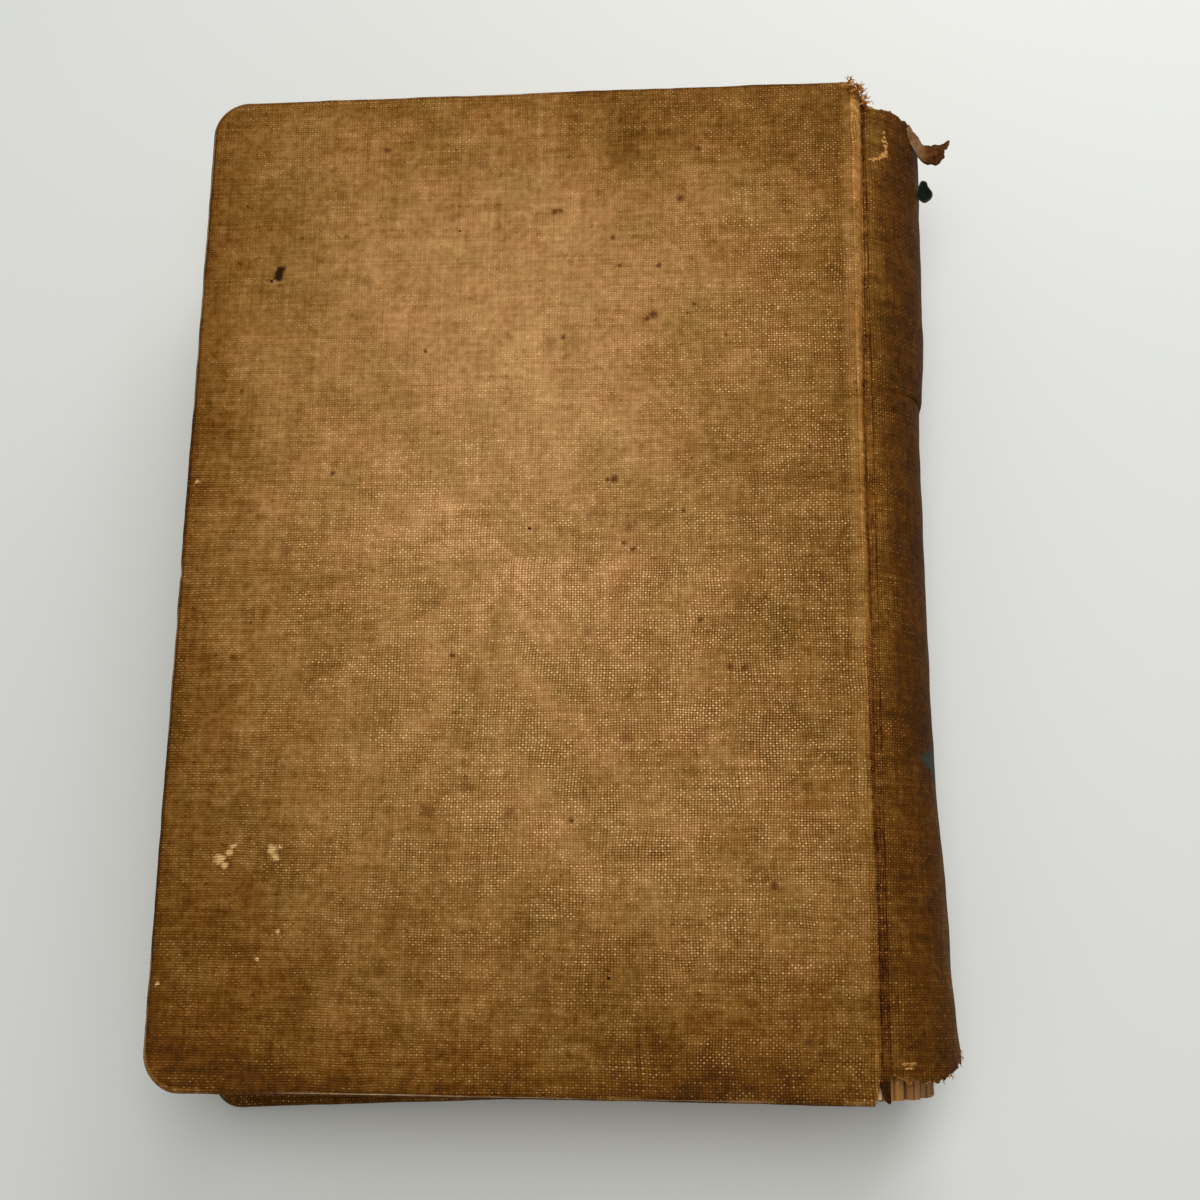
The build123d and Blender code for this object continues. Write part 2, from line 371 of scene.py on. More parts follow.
def dress(node_name, finish):
    """Gives a node of the model this finish in every material slot."""
    mesh = frame["nodes"][node_name].data
    if not mesh.materials:
        mesh.materials.append(finish)
    for slot_number in range(len(mesh.materials)):
        mesh.materials[slot_number] = finish


dress("mull", gauze())


# ---- Spine lining ----------------------------------------------------------------------------
# Thin brown paper glued over the gauze. It has followed the ridges of the folds, and its tail
# end is torn away, so that the folds show there.
LINING_GAP = 0.85  # from the back's arc out to the paper
LINING_THICKNESS = 0.2
LINING_SIDE = 0.1  # share of the back left bare along each shoulder
LINING_HEAD_MARGIN = 1.5
LINING_TAIL_TEAR = 5.0


def kraft_paper():
    """Old brown kraft paper: soft fibre mottling, darker where glue has soaked through."""
    finish, tree = new_finish("old_kraft_paper")
    place = add(tree, "TexCoord", {}).node.outputs["Object"]
    fibre = add(tree, "TexNoise", {"Vector": place, "Scale": 600.0, "Detail": 6.0, "Roughness": 0.7})
    stain = add(tree, "TexNoise", {"Vector": place, "Scale": 70.0, "Detail": 4.0})
    tone = add(tree, "Math", {0: fibre, 1: 0.5, 2: stain}, operation="MULTIPLY_ADD")
    colour = ramp(tree, tone, [(0.5, "#573410"), (0.75, "#86592a"), (1.0, "#a5783f")])
    surface(tree, colour, 0.8, height=fibre, relief=0.08)
    return finish


def thicken(piece, thickness):
    """Turns a one-sided sheet into one of real thickness, growing away from its outer side."""
    solid = piece.modifiers.new("thickness", "SOLIDIFY")
    solid.thickness = thickness * MM
    solid.offset = -1.0
    with bpy.context.temp_override(object=piece, active_object=piece, selected_objects=[piece]):
        bpy.ops.object.modifier_apply(modifier="thickness")


def build_spine_lining():
    shares = np.linspace(LINING_SIDE, 1 - LINING_SIDE, 130)
    y_shares = np.linspace(0, 1, 90)
    tail = block_tail + LINING_TAIL_TEAR + 1.6 * ripple([(s * 44, 0, 0) for s in shares], 5.0, 7.0)
    tail = tail + 0.9 * ripple([(s * 44, 9, 0) for s in shares], 1.3, 2.0)
    ridge = 0.22 * np.abs(np.sin(shares * SECTIONS * math.pi)) - 0.11
    points = []
    for y_share in y_shares:
        y = tail + (block_head - LINING_HEAD_MARGIN - tail) * y_share
        x, z = back_point(shares, y, LINING_GAP + LINING_THICKNESS + ridge)
        points.append(np.column_stack((x, y, z)))
    lining = make_piece(
        "torn_spine_lining", np.concatenate(points), quads(len(y_shares), len(shares)), kraft_paper(), {}
    )
    thicken(lining, LINING_THICKNESS)
    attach(lining, "text_block")
    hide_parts("spine_lining")


build_spine_lining()


# ---- Boards ----------------------------------------------------------------------------------
# Two sheets of rope millboard, pressed and cut square. They show only as a dark edge beside the
# joint, so their finish is a rough, layered grey-brown.
def millboard():
    """Pressed rope-fibre board: flat grey-brown with long fibres and layers in its cut edge."""
    finish, tree = new_finish("rope_millboard")
    place = add(tree, "TexCoord", {}).node.outputs["Object"]
    layered = add(tree, "VectorMath", {0: place, 1: (1, 1, 9)}, operation="MULTIPLY")
    fibre = add(tree, "TexNoise", {"Vector": layered, "Scale": 350.0, "Detail": 6.0, "Roughness": 0.7})
    colour = ramp(tree, fibre, [(0.3, "#5a4630"), (0.6, "#8a7252"), (0.8, "#a08a68")])
    surface(tree, colour, 0.9, height=fibre, relief=0.1)
    return finish


board_finish = millboard()
dress("back_board", board_finish)
dress("front_board", board_finish)


# ---- Cover cloth -----------------------------------------------------------------------------
# Tan plain-weave book cloth, stiffened with starch and glued over each board, round its three
# free edges and in on the inner face. The weave is rubbed bare, foxed and soiled with handling.
THREAD_ACROSS = 0.57  # mm from one upright thread to the next
THREAD_ALONG = 0.49  # mm from one level thread to the next
SEAM_X = 67.6  # where the flat of a cover meets the cloth of its joint
OUTER_ROLL = 1.2  # radius of the worn outer edge
INNER_ROLL = 0.9
CORNER_RADIUS = 7.4
LOWER_CORNER_RADIUS = 5.6  # the lower cover has been handled less
TURN_IN = 15.0
RIDGE_START, RIDGE_TOP = 65.4, 66.8  # X where the board's spine edge lifts the cloth in a pale ridge, partly rubbed and partly a painted highlight
VALLEY_X = 64.9  # a faint hollow beside that ridge, drawn only as painted shade
NOTCH_Y = -2.4  # a nick in the upper cover's fore edge
cloth_thickness = back_cloth_top - board_high[2]
cover_depth = board_high[2] - board_low[2] + 2 * cloth_thickness
cloth_left = board_edge + cloth_thickness  # from the middle of the board out to the fore edge
cloth_end = board_high[1] + cloth_thickness  # and out to head or tail

# Soft changes of tone on the upper cover, partly its own and partly a painted falloff of the light that
# leaves the middle paler and the tail darker: X, Y, reach in X and Y, and how much paler or darker
UPPER_TONES = [
    (-4, 22, 54, 78, 0.34), (6, 64, 46, 30, 0.06), (-62, 98, 22, 16, 0.05), (-64, -92, 24, 34, -0.12),
    (-70, 30, 12, 90, -0.10), (52, -66, 26, 30, 0.04), (20, -52, 40, 22, 0.10), (0, -108, 120, 14, -0.13),
    (62, 84, 16, 26, 0.02), (24, 90, 12, 8, -0.10), (44, 92, 30, 10, -0.06), (0, 97, 50, 12, -0.04),
    (50, -100, 30, 14, -0.09), (-22, 24, 16, 12, -0.06), (62, 38, 8, 16, -0.07), (-30, -54, 24, 24, 0.05),
]
# Where the filler has gone and the weave shows most, and where only its level ribs show
UPPER_BARE = [
    (-10, -5, 60, 26, 0.35), (20, -46, 60, 34, 0.4), (50, 10, 26, 60, 0.25),
    (56, 50, 12, 34, 0.2), (-10, 66, 60, 42, -0.24), (-60, 70, 16, 50, -0.12),
]
UPPER_RIBBED = [
    (-62, -50, 30, 70, 0.9), (-30, -100, 50, 24, 0.7), (-60, 20, 14, 60, 0.5), (30, 20, 26, 16, 0.35),
]
# Where mould has greened the cloth
UPPER_GREEN = [
    (-46, 74, 5, 15, 0.9), (-28, -36, 16, 11, 0.55), (30, 12, 24, 10, 0.6), (52, -8, 14, 18, 0.65),
    (-30, -66, 30, 16, 0.4), (-8, 40, 22, 40, 0.25), (20, -76, 30, 14, 0.35),
]
# Where the edges have been rubbed to bare threads
UPPER_WORN = [
    (65.5, 102.2, 5.0, 1.5, 0.5), (22.0, -102.6, 3.5, 1.2, 0.45), (45.5, -102.6, 4.0, 1.2, 0.45),
    (65.0, -102.4, 3.0, 1.5, 0.5), (-65.5, -98.5, 2.0, 4.0, 0.5), (-59.0, -102.4, 5.0, 1.2, 0.45),
]
LOWER_TONES = [(0, 0, 60, 90, 0.22), (-60, -90, 40, 40, -0.1), (40, 70, 30, 30, -0.12)]
LOWER_GREEN = [(20, -30, 40, 30, 0.5), (-30, 60, 20, 30, 0.4)]
LOWER_BARE = [(0, 0, 50, 70, 0.4)]
LOWER_RIBBED = [(-50, 40, 40, 60, 0.6)]

# Marks on the upper cover, each a place and a radius in mm
FOXING = [
    (6.2, 74.7, 1.1), (7.4, 74.7, 0.8), (32.3, 76.8, 1.2), (18.4, 68.4, 0.9), (28.0, 61.9, 0.9),
    (26.8, 51.0, 1.3), (25.6, 50.2, 0.9), (35.2, 53.0, 0.8), (8.4, 46.5, 0.8), (19.2, 15.9, 1.3),
    (17.9, 15.8, 0.8), (23.2, 1.3, 0.8), (21.4, 2.6, 0.8), (36.3, -13.1, 0.8), (42.0, -22.4, 0.8),
    (44.9, -22.5, 0.9), (19.9, 62.0, 0.6), (41.5, 46.0, 0.6), (33.0, 9.0, 0.9), (-20.0, 44.0, 0.7),
    (-38.0, 18.0, 0.7), (-12.0, -20.0, 0.8), (12.0, -52.0, 0.9), (50.0, -64.0, 1.0), (-58.0, 36.0, 0.8),
    (36.0, 88.0, 0.9), (-30.0, 90.0, 0.9), (58.0, 22.0, 0.8), (-56.0, -20.0, 0.9), (56.0, -92.0, 1.1),
]
DARK_MARKS = [
    (-51.5, 63.1, 1.3), (-51.8, 62.3, 1.35), (-51.9, 61.5, 1.2), (-53.3, 60.5, 0.5),
    (2.6, 5.9, 0.42), (34.6, 20.0, 0.3), (19.3, -81.1, 0.35), (-13.7, 70.8, 0.3),
]
SCUFFS = [
    (-55.9, -59.6, 1.2), (-54.9, -60.9, 0.8), (-54.3, -58.3, 0.7), (-53.5, -57.2, 0.6),
    (-45.6, -57.8, 1.2), (-45.0, -59.2, 0.9), (-44.2, -57.1, 0.5),
    (-1.2, -16.2, 0.4), (52.4, 51.9, 0.4), (-47.3, -78.3, 0.6), (-43.7, -73.2, 0.5), (-66.5, -83.1, 0.5),
    (-66.0, 16.8, 0.5),
]


def patches(points, places):
    """The sum of soft round patches at these points."""
    total = np.zeros(len(points))
    for x, y, reach_x, reach_y, amount in places:
        far = ((points[:, 0] - x) / reach_x) ** 2 + ((points[:, 1] - y) / reach_y) ** 2
        total += amount * np.exp(-far)
    return total


def weave(tree, cloth, ribbed):
    """Plain weave from the cloth's own coordinates in mm. Returns the height of the threads, a
    value that peaks where a level thread rides over an upright one, and a chance for each crossing.
    Where the ribbed field is high, the level threads stand out and hide the upright ones."""
    slow = add(tree, "TexNoise", {"Vector": cloth, "Scale": 0.09, "Detail": 2.0}).node.outputs["Color"]
    drift = add(tree, "VectorMath", {0: slow, 1: (1.6, 1.2, 0), 2: cloth}, operation="MULTIPLY_ADD")
    threads_per_mm = (1 / THREAD_ACROSS, 1 / THREAD_ALONG, 0)
    counts = add(tree, "VectorMath", {0: drift, 1: threads_per_mm}, operation="MULTIPLY")
    parts = add(tree, "SeparateXYZ", {0: counts}).node
    sines, heights = [], []
    for socket in parts.outputs[:2]:
        angle = add(tree, "Math", {0: socket, 1: math.pi}, operation="MULTIPLY")
        sines.append(add(tree, "Math", {0: angle}, operation="SINE"))
        heights.append(add(tree, "Math", {0: sines[-1]}, operation="ABSOLUTE"))
    crossing = add(tree, "Math", {0: sines[0], 1: sines[1]}, operation="MULTIPLY")
    over = add(tree, "MapRange", {"Value": crossing, "From Min": -0.12, "From Max": 0.12})
    upright = add(tree, "Math", {0: heights[1], 1: 0.4, 2: 0.6}, operation="MULTIPLY_ADD")
    upright = add(tree, "Math", {0: upright, 1: heights[0]}, operation="MULTIPLY")
    level = add(tree, "Math", {0: heights[0], 1: 0.35, 2: 0.65}, operation="MULTIPLY_ADD")
    level = add(tree, "Math", {0: level, 1: heights[1]}, operation="MULTIPLY")
    height = add(tree, "Mix", {"Factor": over, "A": level, "B": upright}, data_type="FLOAT")
    ribs = add(tree, "Math", {0: heights[1], 1: 0.8}, operation="MULTIPLY")
    height = add(tree, "Mix", {"Factor": ribbed, "A": height, "B": ribs}, data_type="FLOAT")
    cell = add(tree, "VectorMath", {0: counts}, operation="FLOOR")
    chance = add(tree, "TexWhiteNoise", {"Vector": cell}, noise_dimensions="3D")
    level_on_top = add(tree, "Math", {0: crossing, 1: -1.0}, operation="MULTIPLY", use_clamp=True)
    peak = add(tree, "Math", {0: level_on_top, 1: 3.0}, operation="POWER")
    return height, peak, chance


def marks(tree, cloth, places, soften=0.45):
    """How far inside any of a list of small round marks a point lies, from 0 outside to 1."""
    inside = None
    for x, y, radius in places:
        away = add(tree, "VectorMath", {0: cloth, 1: (x, y, 0)}, operation="DISTANCE")
        one = add(tree, "MapRange", {"Value": away, "From Min": radius, "From Max": radius * (1 - soften)})
        inside = one if inside is None else add(tree, "Math", {0: inside, 1: one}, operation="MAXIMUM")
    return inside


def book_cloth(
    name, stops, bright_thread, gloss=0.05, foxing=(), dark=(), scuffs=(), scuff_thread="#cfae76"
):
    """Starched plain-weave cotton. Tone comes from soft patches and mottling, the hollows between
    the threads get painted shade, and the crossings get pale dots, partly rubbed threads and partly painted
    highlights."""
    finish, tree = new_finish(name)
    cloth = add(tree, "Attribute", {}, attribute_name="cloth").node.outputs["Vector"]
    tone, green, worn, bare, ribbed, stain = (
        add(tree, "Attribute", {}, attribute_name=field).node.outputs["Fac"]
        for field in ("tone", "green", "worn", "bare", "ribbed", "stain")
    )
    height, peak, chance = weave(tree, cloth, ribbed)

    # Mottling at four sizes, in mm: clouds, blotches, specks and single threads
    for size, weight, detail in ((26.0, 0.34, 3.0), (6.0, 0.45, 4.0), (1.6, 0.5, 3.0)):
        grain = {"Vector": cloth, "Scale": 1 / size, "Detail": detail, "Roughness": 0.6}
        mottle = add(tree, "TexNoise", grain)
        centred = add(tree, "Math", {0: mottle, 1: 0.5}, operation="SUBTRACT")
        tone = add(tree, "Math", {0: centred, 1: weight, 2: tone}, operation="MULTIPLY_ADD")
    specks = add(tree, "TexNoise", {"Vector": cloth, "Scale": 0.75, "Detail": 4.0, "Roughness": 0.7})
    specks = add(tree, "MapRange", {"Value": specks, "From Min": 0.6, "From Max": 0.72})
    tone = add(tree, "Math", {0: specks, 1: -0.28, 2: tone}, operation="MULTIPLY_ADD")
    for stretch in ((1 / THREAD_ACROSS, 0.06, 0), (0.06, 1 / THREAD_ALONG, 0)):
        along = add(tree, "VectorMath", {0: cloth, 1: stretch}, operation="MULTIPLY")
        slub = add(tree, "TexNoise", {"Vector": along, "Scale": 1.0, "Detail": 1.0})
        centred = add(tree, "Math", {0: slub, 1: 0.5}, operation="SUBTRACT")
        tone = add(tree, "Math", {0: centred, 1: 0.2, 2: tone}, operation="MULTIPLY_ADD")

    # The weave shows most where the filler has gone, with painted shade in the hollows between the threads
    patchy = add(tree, "TexNoise", {"Vector": cloth, "Scale": 0.11, "Detail": 4.0, "Roughness": 0.6})
    patchy = add(
        tree, "MapRange", {"Value": patchy, "From Min": 0.38, "From Max": 0.62, "To Min": 0.45, "To Max": 1.3}
    )
    bare = add(tree, "Math", {0: bare, 1: patchy}, operation="MULTIPLY")
    bright_row = add(
        tree, "MapRange", {"Value": slub, "From Min": 0.42, "From Max": 0.62, "To Min": 0.25, "To Max": 1.5}
    )
    relief = add(tree, "Math", {0: height, 1: 0.62}, operation="SUBTRACT")
    relief = add(tree, "Math", {0: relief, 1: bare}, operation="MULTIPLY")
    tone = add(tree, "Math", {0: relief, 1: 0.62, 2: tone}, operation="MULTIPLY_ADD")
    # Pale dots where a level thread rides over: partly rubbed threads, partly painted highlights
    dots = add(tree, "MapRange", {"Value": chance, "From Min": 0.2, "From Max": 0.9})
    dots = add(tree, "Math", {0: dots, 1: bright_row}, operation="MULTIPLY")
    dots = add(tree, "Math", {0: dots, 1: peak}, operation="MULTIPLY")
    smooth_share = add(tree, "Math", {0: ribbed, 1: -0.55, 2: 1.0}, operation="MULTIPLY_ADD")
    dots = add(tree, "Math", {0: dots, 1: smooth_share}, operation="MULTIPLY")
    dots = add(tree, "Math", {0: dots, 1: bare}, operation="MULTIPLY")
    tone = add(tree, "Math", {0: dots, 1: 0.6, 2: tone}, operation="MULTIPLY_ADD")
    cream = add(tree, "Math", {0: dots, 1: 0.75}, operation="MULTIPLY", use_clamp=True)

    # Foxing sinks into the threads, and rubbing lifts them out
    wander = add(tree, "TexNoise", {"Vector": cloth, "Scale": 0.9, "Detail": 3.0}).node.outputs["Color"]
    wander = add(tree, "VectorMath", {0: wander, 1: (0.5, 0.5, 0.5)}, operation="SUBTRACT")
    ragged = add(tree, "VectorMath", {0: wander, 1: (3.2, 1.2, 0), 2: cloth}, operation="MULTIPLY_ADD")
    uneven = add(tree, "VectorMath", {0: wander, 1: (1.3, 0.9, 0), 2: cloth}, operation="MULTIPLY_ADD")
    blots = add(tree, "TexVoronoi", {"Vector": ragged, "Scale": 0.13, "Randomness": 1.0})
    some = add(tree, "SeparateXYZ", {0: blots.node.outputs["Color"]})
    some = add(tree, "MapRange", {"Value": some, "From Min": 0.45, "From Max": 0.9})
    blots = add(tree, "MapRange", {"Value": blots, "From Min": 0.26, "From Max": 0.04, "To Max": 0.55})
    foxed = add(tree, "Math", {0: blots, 1: some}, operation="MULTIPLY")
    if foxing:
        spots = marks(tree, uneven, foxing, 0.75)
        spots = add(tree, "Math", {0: spots, 1: 0.95}, operation="MULTIPLY")
        foxed = add(tree, "Math", {0: foxed, 1: spots}, operation="MAXIMUM")
    rubbed = add(tree, "TexNoise", {"Vector": cloth, "Scale": 0.7, "Detail": 4.0, "Roughness": 0.7})
    rubbed = add(tree, "Math", {0: rubbed, 1: worn}, operation="ADD")
    rubbed = add(tree, "MapRange", {"Value": rubbed, "From Min": 0.85, "From Max": 1.25})
    tone = add(tree, "Math", {0: rubbed, 1: 0.34, 2: tone}, operation="MULTIPLY_ADD")
    colour = ramp(tree, tone, stops)
    colour = add(tree, "Mix", {"Factor": cream, "A": colour, "B": linear(bright_thread)}, data_type="RGBA")

    # Red-brown and olive drift through the brown, and mould leaves green patches
    hue = add(tree, "TexNoise", {"Vector": cloth, "Scale": 0.07, "Detail": 6.0, "Roughness": 0.7})
    hue = add(tree, "MapRange", {"Value": hue, "From Min": 0.35, "From Max": 0.65})
    tint = add(tree, "Mix", {"Factor": hue, "A": linear("#f0e9d0"), "B": linear("#ffecdc")}, data_type="RGBA")
    tinted = {"Factor": 1.0, "A": colour, "B": tint}
    colour = add(tree, "Mix", tinted, data_type="RGBA", blend_type="MULTIPLY")
    mould = add(tree, "TexNoise", {"Vector": cloth, "Scale": 0.28, "Detail": 4.0, "Roughness": 0.65})
    mould = add(tree, "MapRange", {"Value": mould, "From Min": 0.42, "From Max": 0.62})
    mould = add(tree, "Math", {0: mould, 1: green}, operation="MULTIPLY", use_clamp=True)
    mould = add(tree, "Math", {0: mould, 1: 0.55}, operation="MULTIPLY")
    greened = {"Factor": 1.0, "A": colour, "B": linear("#cfdcbd")}
    olive = add(tree, "Mix", greened, data_type="RGBA", blend_type="MULTIPLY")
    colour = add(tree, "Mix", {"Factor": mould, "A": colour, "B": olive}, data_type="RGBA")
    colour = add(tree, "Mix", {"Factor": foxed, "A": colour, "B": linear("#502c0d")}, data_type="RGBA")
    if scuffs:
        scuffed = marks(tree, ragged, scuffs, 0.5)
        fibres = add(tree, "MapRange", {"Value": height, "From Min": 0.2, "From Max": 0.9})
        straw = ramp(tree, fibres, [(0.0, "#8f6430"), (1.0, scuff_thread)])
        colour = add(tree, "Mix", {"Factor": scuffed, "A": colour, "B": straw}, data_type="RGBA")
    # Dark marks: stains, and on the spine the painted shade inside its crack
    if dark:
        spot = marks(tree, uneven, dark, 0.5)
        colour = add(tree, "Mix", {"Factor": spot, "A": colour, "B": linear("#241003")}, data_type="RGBA")
    teal = ramp(tree, stain, [(0.8, "#2c3830"), (0.96, "#0a140a")])
    soaked = add(tree, "MapRange", {"Value": stain, "From Max": 0.85})
    colour = add(tree, "Mix", {"Factor": soaked, "A": colour, "B": teal}, data_type="RGBA")
    surface(tree, colour, 0.7, height=height, relief=0.06, Specular_IOR_Level=gloss)
    return finish


COVER_TONES = [
    (0.0, "#3a2002"), (0.2, "#5a3806"), (0.4, "#775626"),
    (0.6, "#957247"), (0.8, "#b18e62"), (1.0, "#deba8c"),
]


def warp(x, y):
    """How far the outer face of a cover lies below its highest plane: the board has moved a little."""
    places = np.column_stack((np.ravel(x), np.ravel(y), np.zeros(np.size(x))))
    wave = 0.16 * ripple(places, 38.0, 5.0) + 0.07 * ripple(places, 11.0, 9.0)
    return (0.12 + wave).reshape(np.shape(x))


def rounded_outline(inset, corner, row_steps, arc_steps, column_steps):
    """Points along three edges of a cover, from its seam round both fore-edge corners and back to
    the seam, with the direction that faces out from each."""
    left, end = cloth_left - inset, cloth_end - inset
    centre_x, centre_y = -left + corner, end - corner
    along = np.linspace(SEAM_X, centre_x, row_steps + 1)
    angles = np.radians(np.linspace(-90, -180, arc_steps + 1))
    column = np.linspace(-centre_y, centre_y, column_steps + 1)[1:-1]
    arc = np.column_stack((centre_x + corner * np.cos(angles), -centre_y + corner * np.sin(angles)))
    arc_out = np.column_stack((np.cos(angles), np.sin(angles)))
    half = np.concatenate((np.column_stack((along, np.full_like(along, -end))), arc[1:]))
    half_out = np.concatenate((np.tile((0.0, -1.0), (len(along), 1)), arc_out[1:]))
    fore_edge = np.column_stack((np.full_like(column, -left), column))
    fore_edge_out = np.tile((-1.0, 0.0), (len(column), 1))
    flip = np.array((1.0, -1.0))
    points = np.concatenate((half, fore_edge, half[::-1] * flip))
    out = np.concatenate((half_out, fore_edge_out, half_out[::-1] * flip))
    return points, out


def cloth_fields(cloth, tone, worn=0.0, green=0.0, stain=0.0, bare=0.6, ribbed=0.0):
    """The named values that book cloth needs at each point. A plain number goes to every point."""
    fields = {"tone": tone, "worn": worn, "green": green, "stain": stain, "bare": bare, "ribbed": ribbed}
    fields = {name: np.broadcast_to(value, len(cloth)) for name, value in fields.items()}
    return {"cloth": cloth, **fields}


def build_cover_cloth(cover, tones, greens, bare_places, ribbed_places, worn_places, finish, corner_radius):
    """The cloth of one cover: a warped outer face, rolled edges, and turn-ins on the inner face."""
    row_steps, arc_steps, column_steps = 96, 10, 138
    flat_radius = corner_radius - OUTER_ROLL
    rim, out = rounded_outline(OUTER_ROLL, flat_radius, row_steps, arc_steps, column_steps)
    side = rim[row_steps : len(rim) - row_steps]  # the left ends of the rows of the flat
    shares = np.linspace(0, 1, row_steps + 1)[:, None]
    flat = np.concatenate([
        np.column_stack((SEAM_X + (end_x - SEAM_X) * shares, np.full(len(shares), end_y)))
        for end_x, end_y in side
    ])
    rows, columns = len(side), row_steps + 1
    sign = -1.0 if cover.side == "back" else 1.0
    points = [np.column_stack((flat, warp(flat[:, 0], flat[:, 1])))]
    cloth = [flat]
    distance = np.minimum(flat[:, 0] + cloth_left, cloth_end - np.abs(flat[:, 1]))
    rims = [np.maximum(distance, 0)]
    faces = quads(rows, columns)

    # Rings of cloth round the edge: how far out from the flat's rim, and how deep
    profile = []
    for angle in np.radians((22, 45, 68, 90)):
        profile.append((OUTER_ROLL * math.sin(angle), OUTER_ROLL * (1 - math.cos(angle))))
    for angle in np.radians((0, 30, 60, 90)):
        reach = OUTER_ROLL - INNER_ROLL * (1 - math.cos(angle))
        profile.append((reach, cover_depth - INNER_ROLL * (1 - math.sin(angle))))
    for reach, under_paper in ((-2.2, 0.0), (-4.0, 0.12), (-TURN_IN + OUTER_ROLL, 0.12)):
        profile.append((reach, cover_depth - under_paper))
    previous = (0.0, 0.0)
    length = 0.0
    edge_x, edge_y = rim[:, 0], rim[:, 1] * sign
    edge_places = np.column_stack((rim, np.zeros(len(rim))))
    waver = 0.28 * ripple(edge_places, 14.0, 21.0) + 0.16 * ripple(edge_places, 4.0, 31.0)
    notch = np.exp(-(((edge_y - NOTCH_Y) / 1.1) ** 2)) * (edge_x < -60)
    waver = waver - 0.3 * notch * (cover.side == "back")
    sink = warp(edge_x, rim[:, 1])
    chain = np.concatenate((
        np.arange(columns),
        np.arange(1, rows) * columns + columns - 1,
        (rows - 1) * columns + np.arange(columns - 2, -1, -1),
    ))
    count = rows * columns
    for reach, depth in profile:
        length += math.hypot(reach - previous[0], depth - previous[1])
        previous = (reach, depth)
        corner = max(flat_radius + reach, 2.0)
        ring, _ = rounded_outline(OUTER_ROLL - reach, corner, row_steps, arc_steps, column_steps)
        share = depth / cover_depth
        ring = ring + out * (waver * (1 - share) * min(1.0, max(reach, 0) / OUTER_ROLL))[:, None]
        points.append(np.column_stack((ring, depth + sink * (1 - share))))
        cloth.append(rim + out * length)
        rims.append(np.full(len(rim), -length))
        fresh = count + np.arange(len(rim))
        faces += [(chain[i], fresh[i], fresh[i + 1], chain[i + 1]) for i in range(len(rim) - 1)]
        chain = fresh
        count += len(rim)

    points = np.concatenate(points)
    cloth = np.concatenate(cloth)
    rims = np.concatenate(rims)
    cloth = np.column_stack((cloth[:, 0], cloth[:, 1] * sign, np.zeros(len(cloth))))
    # Dust and sweat darken the last centimetre, and the roll itself is rubbed pale. Along the board's
    # spine edge the cloth is paler in a ridge, partly rubbed and partly a painted highlight, with painted
    # shade for a faint hollow beside it
    tone = 0.33 + patches(cloth, tones) - 0.10 * np.exp(-np.maximum(rims, 0) / 3.0)
    along_ridge = 0.25 + 0.75 * smooth(cloth[:, 1], -60, 10)
    ridge = smooth(cloth[:, 0], RIDGE_START, RIDGE_TOP) * along_ridge
    valley_shade = np.exp(-(((cloth[:, 0] - VALLEY_X) / 0.9) ** 2)) * along_ridge
    tone = tone + 0.12 * ridge - 0.06 * valley_shade
    by_tail = smooth(-cloth[:, 1], 60, 100)
    worn = (0.18 + 0.2 * by_tail) * smooth(rims, 1.0, 0.0) * smooth(rims, -3.0, -1.2) + 0.24 * ridge
    tone = tone - 0.14 * (1 - by_tail) * smooth(rims, 0.3, -0.6)
    worn = worn + patches(cloth, worn_places)
    corner_worn = np.exp(-(((cloth[:, 0] + 66) / 7) ** 2 + ((np.abs(cloth[:, 1]) - 101) / 6) ** 2))
    worn = np.minimum(worn + 0.35 * corner_worn * smooth(rims, 3.0, 0.0), 1.0)
    piece = make_piece(
        f"{cover.side}_cover_cloth_skin",
        cover.place(points),
        faces if cover.side == "back" else [face[::-1] for face in faces],
        finish,
        cloth_fields(
            cloth,
            tone,
            worn,
            patches(cloth, greens),
            bare=np.clip(0.4 + patches(cloth, bare_places) - 0.25 * ridge, 0.15, 1.0),
            ribbed=np.clip(patches(cloth, ribbed_places), 0, 0.9),
        ),
    )
    thicken(piece, cloth_thickness - 0.04)
    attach(piece, f"{cover.side}_cover")
    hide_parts(f"{cover.side}_cover_cloth")
    return side[:, 1]


upper_cloth = book_cloth("upper_book_cloth", COVER_TONES, "#e6cfa4", 0.05, FOXING, DARK_MARKS, SCUFFS)
lower_cloth = book_cloth("lower_book_cloth", COVER_TONES, "#e6cfa4")
seam_rows = build_cover_cloth(
    back_cover, UPPER_TONES, UPPER_GREEN, UPPER_BARE, UPPER_RIBBED, UPPER_WORN, upper_cloth, CORNER_RADIUS
)
build_cover_cloth(
    front_cover, LOWER_TONES, LOWER_GREEN, LOWER_BARE, LOWER_RIBBED, [], lower_cloth, LOWER_CORNER_RADIUS
)


